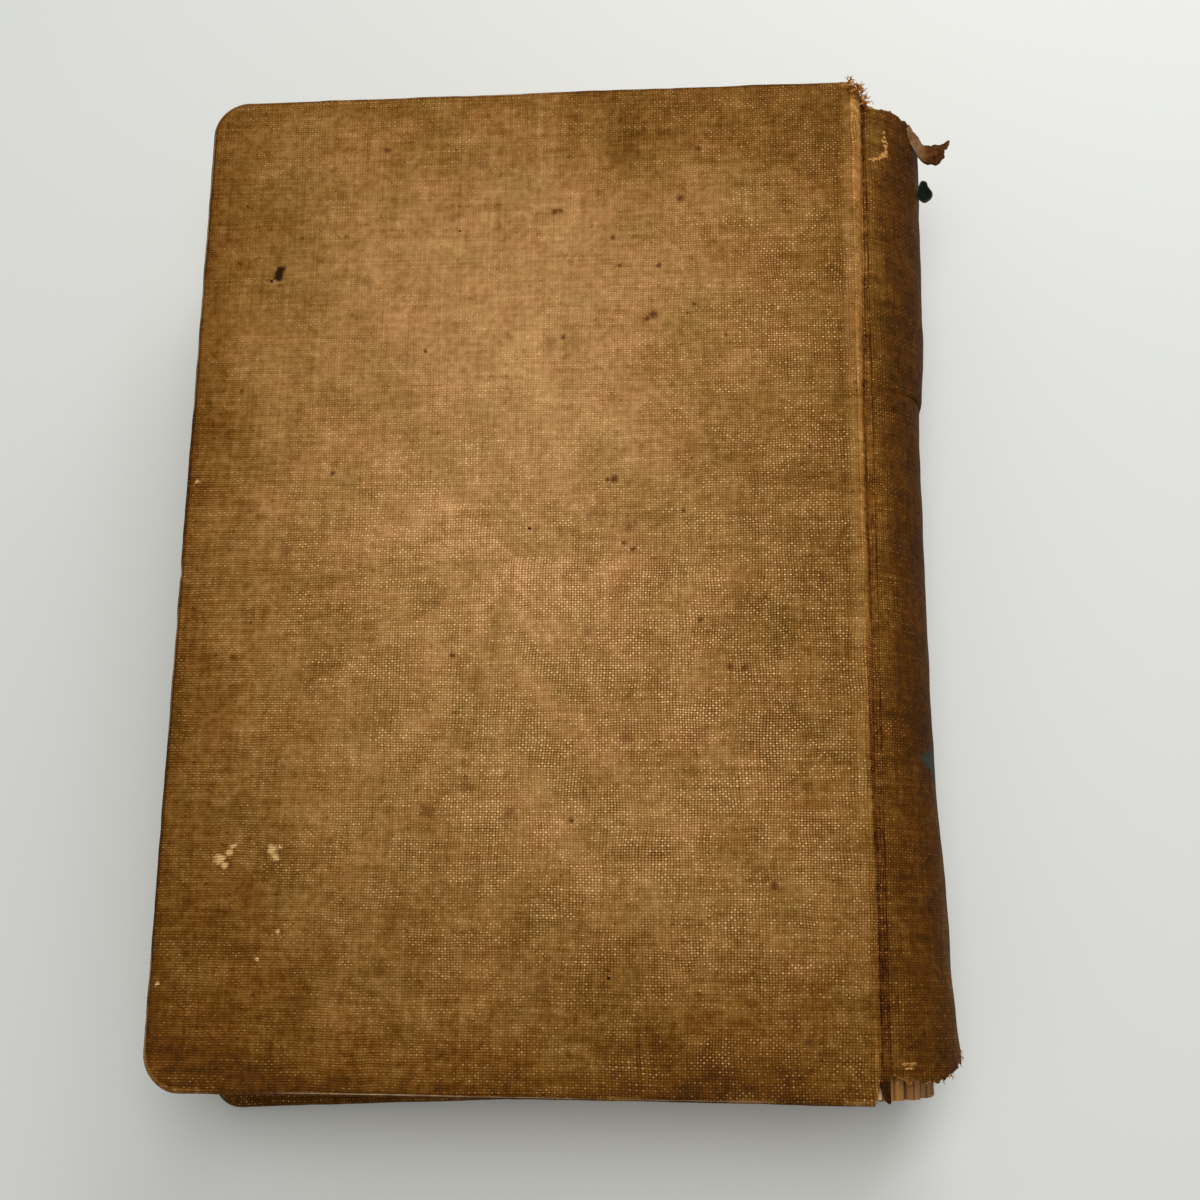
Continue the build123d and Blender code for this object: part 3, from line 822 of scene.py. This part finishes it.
# ---- Endpapers -------------------------------------------------------------------------------
# At each end a folded sheet of thicker cream paper: one leaf pasted inside the board, the other
# free. Both have toned to buff.
def endpaper():
    """Toned wove paper: smooth buff with faint fibres, foxed here and there."""
    finish, tree = new_finish("toned_wove_endpaper")
    place = add(tree, "TexCoord", {}).node.outputs["Object"]
    cloud = add(tree, "TexNoise", {"Vector": place, "Scale": 22.0, "Detail": 5.0, "Roughness": 0.6})
    fibre = add(tree, "TexNoise", {"Vector": place, "Scale": 900.0, "Detail": 4.0})
    tone = add(tree, "Math", {0: fibre, 1: 0.18, 2: cloud}, operation="MULTIPLY_ADD")
    colour = ramp(tree, tone, [(0.3, "#bf9e6d"), (0.55, "#cbae80"), (0.9, "#d4bc92")])
    fox = add(tree, "TexVoronoi", {"Vector": place, "Scale": 75.0, "Randomness": 1.0})
    fox = add(tree, "MapRange", {"Value": fox, "From Min": 0.16, "From Max": 0.05})
    chance = add(tree, "TexNoise", {"Vector": place, "Scale": 40.0, "Detail": 1.0})
    chance = add(tree, "MapRange", {"Value": chance, "From Min": 0.5, "From Max": 0.65})
    fox = add(tree, "Math", {0: fox, 1: chance}, operation="MULTIPLY")
    colour = add(tree, "Mix", {"Factor": fox, "A": colour, "B": linear("#8f6230")}, data_type="RGBA")
    surface(tree, colour, 0.78, height=fibre, relief=0.03)
    return finish


endpaper_finish = endpaper()
for node_name in ("back_pastedown", "front_pastedown", "back_free_endpaper", "front_free_endpaper"):
    dress(node_name, endpaper_finish)


# ---- Joint cloth -----------------------------------------------------------------------------
# The same cloth where it leaves a board, dips into the groove and rises to the spine. Opening has
# rubbed the lip of the board pale and left the weave of the groove thin and brown. The lip's paleness is
# partly a painted highlight, and the dark lines in the groove and at the board's edge are painted shade.
JOINT_PATH = [  # across the joint in the cover's frame: X, and depth below the outer face
    (67.6, 0.0), (67.9, 0.06), (68.2, 0.25), (68.5, 0.6), (68.8, 1.05), (69.05, 1.5),
    (69.3, 2.05), (69.45, 2.35), (69.62, 2.42), (69.85, 2.34), (70.2, 2.25), (70.6, 2.2),
]


def rounded_path(points, spans):
    """A smooth curve through a short list of points, with this many steps between each two."""
    known = np.array(points, float)
    ends = np.vstack((2 * known[0] - known[1], known, 2 * known[-1] - known[-2]))
    curve = [known[0]]
    for i in range(1, len(ends) - 2):
        a, b, c, d = ends[i - 1 : i + 3]
        for t in np.linspace(0, 1, spans + 1)[1:]:
            bend, twist = 2 * a - 5 * b + 4 * c - d, 3 * b - a - 3 * c + d
            curve.append(0.5 * (2 * b + (c - a) * t + bend * t**2 + twist * t**3))
    return np.array(curve)


# How far the dark painted-shade line of the joint strays from straight, as Y and mm towards the spine
LINE_DRIFT = [
    (-106, 0.0), (-92, 0.8), (-72, 0.8), (-50, 0.4), (-25, 0.0),
    (5, -0.4), (30, -0.6), (50, 0.3), (72, 0.5), (106, 0.5),
]
GROOVE_X = 69.5  # the dark line of painted shade at the foot of the joint, in its upper half
LIP_START, LIP_END = 69.4, 68.6  # between these the pale lip of the board begins, rubbed and partly a painted highlight
EDGE_LINE_X = 68.25  # the dark line of painted shadow at the board's edge, in its lower half
ENDS_Y = 92.0  # the joint is torn from here to head and tail
spine_edge = 2 * hinge_x - board_edge  # where the joint ends and the spine begins


def along_list(value, stops):
    """A smooth value between the stops of a short list."""
    places, amounts = np.array(stops, float).T
    index = np.clip(np.searchsorted(places, value) - 1, 0, len(places) - 2)
    t = smooth(value, places[index], places[index + 1])
    linear_t = np.clip((value - places[index]) / (places[index + 1] - places[index]), 0, 1)
    t = (t + linear_t) / 2
    return amounts[index] * (1 - t) + amounts[index + 1] * t


def build_joint_cloth(cover, finish):
    path = rounded_path(JOINT_PATH, 3)
    lengths = np.concatenate(([0], np.cumsum(np.linalg.norm(np.diff(path, axis=0), axis=1))))
    sign = -1.0 if cover.side == "back" else 1.0
    steps = 3  # rows of the joint to each row of the cover, for its frayed ends
    last = len(seam_rows) - 1
    rows = np.interp(np.linspace(0, last, steps * last + 1), np.arange(last + 1), seam_rows)
    middle = np.sin(np.linspace(0, math.pi, len(path)))
    torn = np.array([(x, 0, 0) for x in path[:, 0]])
    joint_head_tear = 0.45 * (path[:, 0] - SEAM_X) + 2.4 * smooth(path[:, 0], 69.5, 70.5)
    joint_head_tear = joint_head_tear + 1.4 * smooth(path[:, 0], SEAM_X, 68.2) * ripple(torn, 0.7, 13.0)
    joint_tail_tear = 3.0 * smooth(path[:, 0], 68.0, 68.5) * (1 + 0.8 * ripple(torn, 0.6, 17.0))
    points, cloth = [], []
    for y in rows:
        places = [(x, y, 0) for x in path[:, 0]]
        fray = ripple(places, 2.4, 11.0)
        sway = 0.5 * smooth(y * sign, 55, 95) + 0.15 * noise.noise(Vector((0, y / 30, 4.0)))
        x = path[:, 0] + middle * np.maximum(sway, -0.1)
        sink = warp(np.full(len(path), SEAM_X), np.full(len(path), y)) * np.linspace(1, 0, len(path))
        z = path[:, 1] + sink + 0.14 * middle * fray
        level = np.full_like(x, y * sign)
        if cover.side == "back":
            level -= joint_head_tear * smooth(y * sign, ENDS_Y, rows[-1])
            level += joint_tail_tear * smooth(-y * sign, ENDS_Y, rows[-1])
        points.append(np.column_stack((x, level * sign, z)))
        cloth.append(np.column_stack((SEAM_X + lengths, level, 0 * x)))
    points, cloth = np.concatenate(points), np.concatenate(cloth)
    x, y = np.tile(path[:, 0], len(rows)), cloth[:, 1]
    # Towards the head the lip is rubbed pale, partly a painted highlight, above a dark line of painted
    # shade in the groove; towards the tail the board's edge is a dark line of painted shadow and the cloth
    # past it is brown
    upper = smooth(y, -40, 10)
    line = along_list(y, LINE_DRIFT)
    lip = smooth(x, LIP_START + line, LIP_END + line)
    broken = np.clip(0.85 + 1.6 * ripple(cloth * (0.3, 1.0, 0), 0.9, 37.0), 0.2, 1.3)
    groove = np.exp(-(((x - GROOVE_X - line) / 0.14) ** 2)) * (0.1 + 0.9 * upper) * broken
    edge_shadow_line = np.exp(-(((x - EDGE_LINE_X - line) / 0.16) ** 2)) * (1 - upper) * broken
    band = smooth(x, 68.2 + line, LIP_END + line) * (1 - upper)
    pits = smooth(ripple(cloth * (1.2, 1.0, 0), 1.3, 91.0), 0.12, 0.3)
    pits = pits * smooth(x, 68.1 + line, LIP_END + line)
    tone = 0.36 + 0.24 * upper * lip + 0.06 * (1 - upper) * smooth(x, 68.3 + line, 68.0 + line)
    tone = tone - 0.16 * groove - 0.2 * edge_shadow_line - 0.08 * band - 0.06 * pits + 0.03 * upper * (1 - lip)
    worn = 0.22 * upper * lip + 0.2 * smooth(y, 80, 98)
    tone = tone - 0.10 * smooth(y, 70, 95) * (1 - lip)
    faces = quads(len(rows), len(path))
    if cover.side == "back":
        faces = [face[::-1] for face in faces]
    piece = make_piece(
        f"{cover.side}_joint_cloth_strip",
        cover.place(points),
        faces,
        finish,
        cloth_fields(cloth, tone, worn, bare=0.5),
    )
    thicken(piece, cloth_thickness)
    hinge_line = [cover.place(np.array((x, 0, hinge_depth))) * MM for x in (spine_edge, board_edge)]
    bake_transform(piece)
    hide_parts(f"{cover.side}_joint_cloth")


JOINT_TONES = [
    (0.0, "#1c0c01"), (0.2, "#472505"), (0.4, "#6c4717"),
    (0.6, "#916a37"), (0.8, "#b48c56"), (1.0, "#dab681"),
]
joint_cloth = book_cloth("rubbed_joint_cloth", JOINT_TONES, "#cfa468")
build_joint_cloth(back_cover, joint_cloth)
build_joint_cloth(front_cover, joint_cloth)


# ---- Spine inlay -----------------------------------------------------------------------------
# A strip of thick brown paper glued inside the cloth, to stiffen it over the hollow back. It shows
# only at head and tail, where the cloth has torn away.
dress("spine_inlay", bpy.data.materials["old_kraft_paper"])


# ---- Spine cloth -----------------------------------------------------------------------------
# The cloth over the hollow back: darker with smoke and handling than the covers, and polished on
# its curve, where its sheen is painted into the colour. Its head and tail are torn, and a crack crosses its
# upper third.
SPINE_LEVEL = 2.2  # how far below a cover's outer face the cloth leaves the joint
SPINE_STANDOFF = 2.3  # lining, inlay and glue between the block's back and this cloth
SHOULDER_FULLNESS = 1.1  # how much fuller than an arc the cloth is beside each joint
CRACK_Y = 35.3
SPINE_ARC = 50.0  # the cloth's length round the back, from joint to joint
SPINE_START = 73.5  # X on the flat cloth of the line where the spine begins
# The space behind the cloth, as Y and mm, and the torn ends, as mm round the back and Y
HOLLOWS = [
    (-97, 3.8), (-90, 3.3), (-72, 2.4), (-53, 1.8), (-28, 1.4), (-2, 1.5), (30, 2.0), (52, 3.6), (98, 4.8),
]
HEAD_TEAR = [
    (0, 98.2), (2, 97.6), (5, 97.8), (8, 97.2), (11, 96.4), (14, 94.6),
    (20, 94.4), (27, 95.2), (36, 94.0), (44, 95.6), (60, 95.0),
]
TAIL_TEAR = [
    (0, -98.0), (3, -98.4), (7, -98.6), (10, -98.2), (13, -97.0), (17, -95.4),
    (22, -93.4), (28, -94.6), (34, -93.2), (42, -95.8), (60, -96.4),
]


def spine_point(share, y, offset=0.0):
    """A point of the spine's outside: share is 0 at the upper joint and 1 at the lower one."""
    lean = lean_at(y)
    hollow = along_list(y, HOLLOWS) + 0.5 * smooth(y, CRACK_Y - 0.3, CRACK_Y + 0.3)
    x, z, radius, low, high = arc_through(
        (spine_edge + lean, SPINE_LEVEL + 0 * y),
        (shoulder_x + BACK_ROUND + lean / 2 + SPINE_STANDOFF + hollow, block_middle + 0 * y),
        (spine_edge + 0 * lean, back_cloth_top - SPINE_LEVEL + 0 * y),
    )
    angle = high - share * (high - low)
    full = SHOULDER_FULLNESS * np.sin(math.pi * np.clip(share / 0.42, 0, 1)) ** 1.3
    full = full + SHOULDER_FULLNESS * np.sin(math.pi * np.clip((1 - share) / 0.42, 0, 1)) ** 1.3
    reach = radius + full + offset
    return np.column_stack((x + reach * np.cos(angle), y + 0 * angle, z + reach * np.sin(angle)))


def build_spine_cloth(finish):
    shares = np.linspace(0, 1, 104)
    s = shares * SPINE_ARC
    round_back = np.column_stack((s, 0 * s, 0 * s))
    head, tail = along_list(s, HEAD_TEAR), along_list(s, TAIL_TEAR)
    head = head + 0.9 * ripple(round_back, 1.7, 41.0) + 0.5 * ripple(round_back, 0.7, 43.0)
    tail = tail + 1.0 * ripple(round_back, 1.9, 51.0) + 0.6 * ripple(round_back, 0.7, 53.0)
    crack_y = CRACK_Y + 0.6 * ripple(round_back, 5.0, 97.0)
    points, cloth = [], []
    by_crack = np.arange(0.675, 0.693, 0.001)  # finer rows where the cloth has split
    levels = np.unique(np.concatenate((np.linspace(0, 1, 176), by_crack)))
    for t in levels:
        y = tail + (head - tail) * t
        places = np.column_stack((s, y, 0 * s))
        dents = ripple(places, 17.0, 61.0) * 0.55 + ripple(places, 5.0, 67.0) * 0.12
        dents = dents * np.sin(math.pi * shares) ** 0.7
        dents -= 1.5 * np.exp(-(((y - crack_y) / 0.45) ** 2)) * smooth(s, 8.5, 17) * smooth(s, 28, 23)
        points.append(spine_point(shares, y, dents))
        cloth.append(places + (SPINE_START, 0, 0))
    points, cloth = np.concatenate(points), np.concatenate(cloth)
    u, y = cloth[:, 0] - SPINE_START, cloth[:, 1]
    from_joint = np.exp(-((u / 3.2) ** 2)) + np.exp(-(((SPINE_ARC - u) / 3.2) ** 2))
    from_end = np.minimum(np.tile(head, len(levels)) - y, y - np.tile(tail, len(levels)))
    # Paler beside the joints, a painted light where the shoulders face the lamp; a little darker past them;
    # paler on the curve and towards the tail, a painted sheen; and dark in the fold at the tail
    lit = 0.12 + 0.11 * smooth(y, -60, 20)
    tone = 0.32 + lit * from_joint - 0.04 * smooth(u, 6, 10) + 0.09 * smooth(u, 11, 16)
    tone = tone + 0.06 * smooth(y, -20, -70)
    tone = tone - 0.05 * smooth(-y, 30, 60) * np.exp(-((u / 1.5) ** 2))
    # A patch near the head where only the level threads show, greened with mould
    level_ribs = np.exp(-(((u - 3.0) / 3.6) ** 2 + ((y - 92) / 7.5) ** 2))
    tone = tone + 0.1 * level_ribs
    bare = 0.22 + 0.26 * from_joint + 0.3 * level_ribs
    worn = 0.55 * np.exp(-from_end / 0.8) + 0.12 * from_joint
    green = 0.9 * np.exp(-(((u - 3) / 3) ** 2 + ((y - 92) / 7) ** 2))
    green = green + 0.9 * np.exp(-(((u - 16) / 3) ** 2 + ((y - 14) / 22) ** 2))
    # A spilled stain: a pointed blot, and a run that spreads round the curve and towards the tail
    blot = 1 - np.maximum(17 - u, 0) / 9.2 - np.maximum(u - 17, 0) / 6 - np.abs(y + 39) / 5.2
    run = 1 - ((u - 20) / (5.2 - 3 * smooth(-y, 44, 64))) ** 2 - ((y + 45) / 13) ** 2
    spread = smooth(u, 13, 18)
    uneven = (0.6 * ripple(cloth, 7.0, 87.0) + 0.5 * ripple(cloth, 2.6, 88.0)) * spread
    uneven = uneven + 0.2 * ripple(cloth, 1.3, 89.0)
    stain = smooth(np.maximum(blot, run) + uneven, 0.0, 0.25 + 0.5 * spread)
    piece = make_piece(
        "torn_spine_cloth",
        points,
        [face[::-1] for face in quads(len(levels), len(shares))],
        finish,
        cloth_fields(cloth, tone, worn, green, stain * 0.74, bare=bare, ribbed=0.9 * level_ribs),
    )
    thicken(piece, cloth_thickness)
    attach(piece, "text_block")
    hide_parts("spine_cloth")


SPINE_TONES = [
    (0.0, "#1c0c00"), (0.2, "#341d01"), (0.4, "#4c2d03"),
    (0.6, "#694a1a"), (0.8, "#926f3a"), (1.0, "#c9a26c"),
]
# Stains, the line of the crack, drawn dark as painted shade in the split, and rubbed threads, each a place on
# the flat cloth and a radius
SPINE_SPOTS = [
    (78.0, 77.5, 0.8), (79.0, 74.5, 1.1), (77.5, 72.0, 0.7), (78.5, 43.0, 0.8),
    (76.5, 60.0, 0.6), (76.6, -3.0, 0.8), (76.4, -12.0, 0.6), (78.0, -70.0, 0.7),
]
CRACK = [
    (82.2, 35.3, 0.3), (83.0, 35.3, 0.3), (83.8, 35.3, 0.32), (84.6, 35.3, 0.34), (85.4, 35.4, 0.36),
    (86.2, 35.4, 0.4), (87.0, 35.4, 0.44), (87.8, 35.5, 0.5), (88.6, 35.5, 0.55), (89.4, 35.5, 0.6),
    (90.2, 35.4, 0.65), (91.0, 35.3, 0.7), (91.8, 35.2, 0.7), (92.6, 35.1, 0.65), (93.4, 35.1, 0.6),
]
RUBS = [
    (77.3, 92.4, 0.4), (77.4, 91.4, 0.45), (77.5, 90.3, 0.5), (77.6, 89.2, 0.65), (77.6, 88.0, 0.8),
    (77.1, 87.0, 0.75), (76.2, 86.2, 0.6), (75.2, 85.8, 0.5), (74.6, 85.4, 0.4), (75.6, -95.4, 0.3),
    (76.3, -95.5, 0.35), (77.0, -95.4, 0.4), (77.8, -95.5, 0.3), (76.6, -96.4, 0.3), (77.3, -96.3, 0.3),
]
# Colour of rubbed threads, used also for the pale dots on the crossings, which are partly painted highlights
RUBBED_THREAD = "#bd8a4c"
spine_finish = book_cloth(
    "polished_spine_cloth", SPINE_TONES, RUBBED_THREAD, 0.05, SPINE_SPOTS, CRACK, RUBS, RUBBED_THREAD
)
build_spine_cloth(spine_finish)


# ---- Torn shreds -----------------------------------------------------------------------------
# Tatters of the spine cloth that still hang on: a curled strip at the head, a green flake below
# it, and a dark point of turned-in cloth at the tail of the joint.
STRIP_UPPER = [
    (80.3, 96.6, 38.0), (81.7, 95.6, 36.4), (83.1, 93.7, 35.4), (84.6, 93.1, 35.0),
    (86.2, 92.9, 35.4), (87.4, 92.7, 36.2), (88.7, 92.8, 37.2),
]
STRIP_LOWER = [
    (80.2, 93.6, 37.2), (81.3, 92.2, 36.0), (82.6, 90.4, 34.8), (83.9, 89.4, 34.2),
    (85.2, 88.9, 34.4), (86.4, 88.7, 35.0), (87.6, 89.6, 35.8),
]
FLAKE = [
    (82.0, 81.8, 33.2), (82.3, 83.6, 33.4), (83.1, 85.2, 33.8), (84.1, 85.0, 34.2),
    (84.5, 83.8, 34.0), (85.3, 82.4, 34.2), (85.0, 81.2, 33.8), (83.6, 80.5, 33.4),
]
POINT = [
    (68.4, -98.6, 43.5), (69.4, -98.4, 43.8), (70.4, -98.8, 44.0), (70.5, -100.6, 43.9),
    (70.5, -102.4, 43.5), (69.8, -102.3, 43.5), (69.2, -101.2, 43.6),
]


def ribbon(name, upper, lower, columns, finish):
    """A strip of cloth between two edges, each a smooth curve through a few points. Its inner half
    is paler and greyer with a painted sheen, and its outer half and its rims are darker."""
    one, two = rounded_path(upper, 4), rounded_path(lower, 4)
    shares = np.linspace(0, 1, columns)
    bow = np.sin(math.pi * shares)
    points = []
    for a, b in zip(one, two):
        line = a + (b - a) * shares[:, None]
        line[:, 2] += 0.35 * bow + 0.25 * ripple(line, 1.6, 71.0)
        line[:, :2] += 0.45 * np.column_stack((ripple(line, 0.8, 73.0), ripple(line, 0.8, 79.0)))
        points.append(line)
    points = np.concatenate(points)
    cloth = points * (1, 1, 0)
    rim = np.tile(np.abs(2 * shares - 1), len(one)) ** 6
    tone = 0.72 - 0.34 * smooth(cloth[:, 0], 83.0, 84.6) - 0.26 * rim * smooth(cloth[:, 0], 82.0, 84.0)
    fields = cloth_fields(cloth, tone, 0.1, bare=0.1)
    piece = make_piece(name, points, quads(len(one), columns), finish, fields)
    thicken(piece, cloth_thickness)
    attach(piece, "text_block")


def flake(name, outline, finish, tone, stain):
    """A thin scrap of cloth inside a small outline."""
    edge = rounded_path(outline + outline[:1], 4)[:-1]
    middle = edge.mean(axis=0)
    rings = [middle + (edge - middle) * share for share in (1.0, 0.85, 0.55, 0.25)]
    points = np.concatenate(rings + [middle[None, :]])
    points[:, 2] += 0.3 * ripple(points, 1.2, 83.0)
    columns = len(edge)
    inside = np.repeat((0.25, 1.0, 1.0, 1.0, 1.0), (columns, columns, columns, columns, 1))
    faces = quads(4, columns, closed=True)
    centre = 4 * columns
    faces += [(3 * columns + i, 3 * columns + (i + 1) % columns, centre) for i in range(columns)]
    fields = cloth_fields(points * (1, 1, 0), tone, stain=stain * inside, bare=0.1)
    piece = make_piece(name, points, faces, finish, fields)
    thicken(piece, cloth_thickness)
    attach(piece, "text_block")


# Tones of the torn strip: the pale grey-mauve end is a painted sheen
STRIP_TONES = [(0.0, "#2a1003"), (0.3, "#4b2a0c"), (0.5, "#66411b"), (0.7, "#6c5238"), (1.0, "#8d7a66")]
strip_finish = book_cloth("torn_cloth_painted_sheen", STRIP_TONES, RUBBED_THREAD, 0.09)
ribbon("torn_head_strip", STRIP_UPPER, STRIP_LOWER, 14, strip_finish)
flake("green_flake", FLAKE, spine_finish, 0.35, 0.96)
flake("turned_in_point", POINT, spine_finish, 0.16, 0.0)


# ---- Frayed threads --------------------------------------------------------------------------
# Cotton threads pulled out of the torn weave at the head and tail of the joint and along the
# torn ends of the spine: straw-coloured inside, brown where they were dyed.
THREAD_RADIUS = 0.12
THREAD_STEP = 0.25  # mm between the points of a thread's route


def loose_thread():
    """Unspun cotton: pale straw to brown along its length, quite matt."""
    finish, tree = new_finish("frayed_cotton_thread")
    place = add(tree, "TexCoord", {}).node.outputs["Object"]
    tone = add(tree, "TexNoise", {"Vector": place, "Scale": 900.0, "Detail": 2.0})
    colour = ramp(tree, tone, [(0.34, "#4c2408"), (0.46, "#7c4a17"), (0.57, "#a06b2e"), (0.7, "#c99a58")])
    surface(tree, colour, 0.8, Specular_IOR_Level=0.15)
    return finish


def tube(route, radius, sides=5):
    """Points and faces of a thin closed tube along a route."""
    route = np.asarray(route)
    along = np.gradient(route, axis=0)
    along /= np.linalg.norm(along, axis=1)[:, None]
    helper = np.array((0.3, 0.2, 1.0))
    first = np.cross(along, helper)
    first /= np.linalg.norm(first, axis=1)[:, None]
    second = np.cross(along, first)
    angles = np.linspace(0, 2 * math.pi, sides, endpoint=False)
    taper = np.linspace(1.0, 0.55, len(route))
    points = []
    for i in range(len(route)):
        circle = np.outer(np.cos(angles), first[i]) + np.outer(np.sin(angles), second[i])
        points.append(route[i] + radius * taper[i] * circle)
    faces = quads(len(route), sides, closed=True)
    faces.append(tuple(range(sides))[::-1])
    faces.append(tuple(range((len(route) - 1) * sides, len(route) * sides)))
    return np.concatenate(points), faces


def build_threads(name, body, roots, seed, finish):
    """A tuft: from each root a thread sets off in a direction, with a length and a curl in degrees
    per mm."""
    draw = random.Random(seed)
    points, faces = [], []
    count = 0
    for x, y, z, heading, rise, length, curl in roots:
        place = np.array((x, y, z), float)
        heading, rise = math.radians(heading), math.radians(rise)
        route = [place.copy()]
        for _ in range(int(length / THREAD_STEP)):
            heading += math.radians(curl) * THREAD_STEP + draw.uniform(-0.12, 0.12)
            rise += draw.uniform(-0.15, 0.15)
            level = math.cos(rise)
            way = np.array((math.cos(heading) * level, math.sin(heading) * level, math.sin(rise)))
            place += THREAD_STEP * way
            route.append(place.copy())
        more, joined = tube(route, THREAD_RADIUS * draw.uniform(0.7, 1.15))
        points.append(more)
        faces += [tuple(index + count for index in face) for face in joined]
        count += len(more)
    piece = make_piece(name, np.concatenate(points), faces, finish, {})
    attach(piece, body)


thread_finish = loose_thread()
draw_roots = random.Random(5)
# Each root: its place, then the heading, rise, length and curl of its thread
head_roots = []
for _ in range(170):
    x = draw_roots.uniform(67.5, 71.2)
    y = 102.3 - 0.3 * (x - 67.6) - 2.0 * smooth(x, 69.8, 70.9) + draw_roots.uniform(-3.0, 0.4)
    z = 45.8 - 1.7 * smooth(x, 67.8, 69.8) + draw_roots.uniform(0, 0.9)
    turns = (draw_roots.uniform(a, b) for a, b in ((-40, 150), (-20, 30), (0.6, 1.9), (-90, 90)))
    head_roots.append((x, y, z, *turns))
head_roots += [(71.2, 98.4, 43.9, 70, 10, 2.4, -80), (70.4, 101.0, 44.4, 60, 20, 2.2, 120)]
build_threads("head_joint_tuft", "text_block", head_roots, 8, thread_finish)
cover_roots = []
for _ in range(60):
    x = 68.0 - 5.5 * draw_roots.uniform(0, 1) ** 1.6
    heading = draw_roots.uniform(30, 150)
    y = 101.6 + draw_roots.uniform(-0.6, 0.4)
    z = 45.6 + draw_roots.uniform(-1.2, 0.2)
    turns = (draw_roots.uniform(a, b) for a, b in ((-20, 30), (0.4, 1.1), (-90, 90)))
    cover_roots.append((x, y, z, heading, *turns))
cover_roots += [(66.6, 102.0, 45.6, 120, 20, 1.2, 60), (68.0, 101.8, 45.5, 60, 25, 2.2, 170)]
build_threads("head_cover_tuft", "back_cover", cover_roots, 9, thread_finish)
tail_roots = []
for _ in range(70):
    s = draw_roots.uniform(0.5, 24)
    y = float(along_list(np.array([s]), TAIL_TEAR)[0]) + draw_roots.uniform(-0.2, 0.7)
    x, _, z = spine_point(np.array([s / SPINE_ARC]), np.array([y]), 0.05)[0]
    turns = (draw_roots.uniform(a, b) for a, b in ((-150, -30), (-30, 10), (0.5, 1.8), (-50, 50)))
    tail_roots.append((x, y, z, *turns))
build_threads("tail_fringe", "text_block", tail_roots, 10, thread_finish)


# ---- Floor, light and camera -----------------------------------------------------------------
# A plain pale tabletop, wide enough to reach the horizon, under a soft ceiling lamp close above
# the book. A dimmer glow from a window beyond the head fills the shadows.
def tabletop():
    """Matt white laminate: an even pale grey, a little rough."""
    finish, tree = new_finish("matt_white_laminate")
    place = add(tree, "TexCoord", {}).node.outputs["Object"]
    cloud = add(tree, "TexNoise", {"Vector": place, "Scale": 3.0, "Detail": 2.0})
    colour = ramp(tree, cloud, [(0.3, "#c3c4bf"), (0.7, "#c7c8c3")])
    surface(tree, colour, 0.6)
    return finish


FLOOR_REACH = 4000.0
floor_corners = [(x * FLOOR_REACH, y * FLOOR_REACH, 0) for x, y in ((-1, -1), (1, -1), (1, 1), (-1, 1))]
floor = make_piece("tabletop", floor_corners, [(0, 1, 2, 3)], tabletop(), {})

world = bpy.data.worlds.new("room")
world.use_nodes = True
world.node_tree.nodes["Background"].inputs["Color"].default_value = linear("#eceef0")
world.node_tree.nodes["Background"].inputs["Strength"].default_value = 0.5
bpy.context.scene.world = world


def soft_light(name, place, size, power, target=(0.0, 0.0, 0.02), colour="#ffffff"):
    """A square area light in metres and watts, facing the target."""
    lamp = bpy.data.lights.new(name, "AREA")
    lamp.size = size
    lamp.energy = power
    lamp.color = linear(colour)[:3]
    light = bpy.data.objects.new(name, lamp)
    light.location = place
    light.rotation_euler = (Vector(target) - Vector(place)).to_track_quat("-Z", "Y").to_euler()
    bpy.context.scene.collection.objects.link(light)


soft_light("ceiling_lamp", (0.07, 0.04, 0.75), 0.34, 3.0)
soft_light("window_glow", (0.25, 0.6, 0.5), 0.5, 4.2)

camera_data = bpy.data.cameras.new("camera")
camera_data.lens = 49.5
camera_data.sensor_width = 36.0
camera = bpy.data.objects.new("camera", camera_data)
camera.location = (0.0458, -0.0874, 0.3575)
camera.rotation_euler = [math.radians(angle) for angle in (14.144, 5.128, 0.781)]
bpy.context.scene.collection.objects.link(camera)
bpy.context.scene.camera = camera
bpy.context.scene.view_settings.view_transform = "Standard"
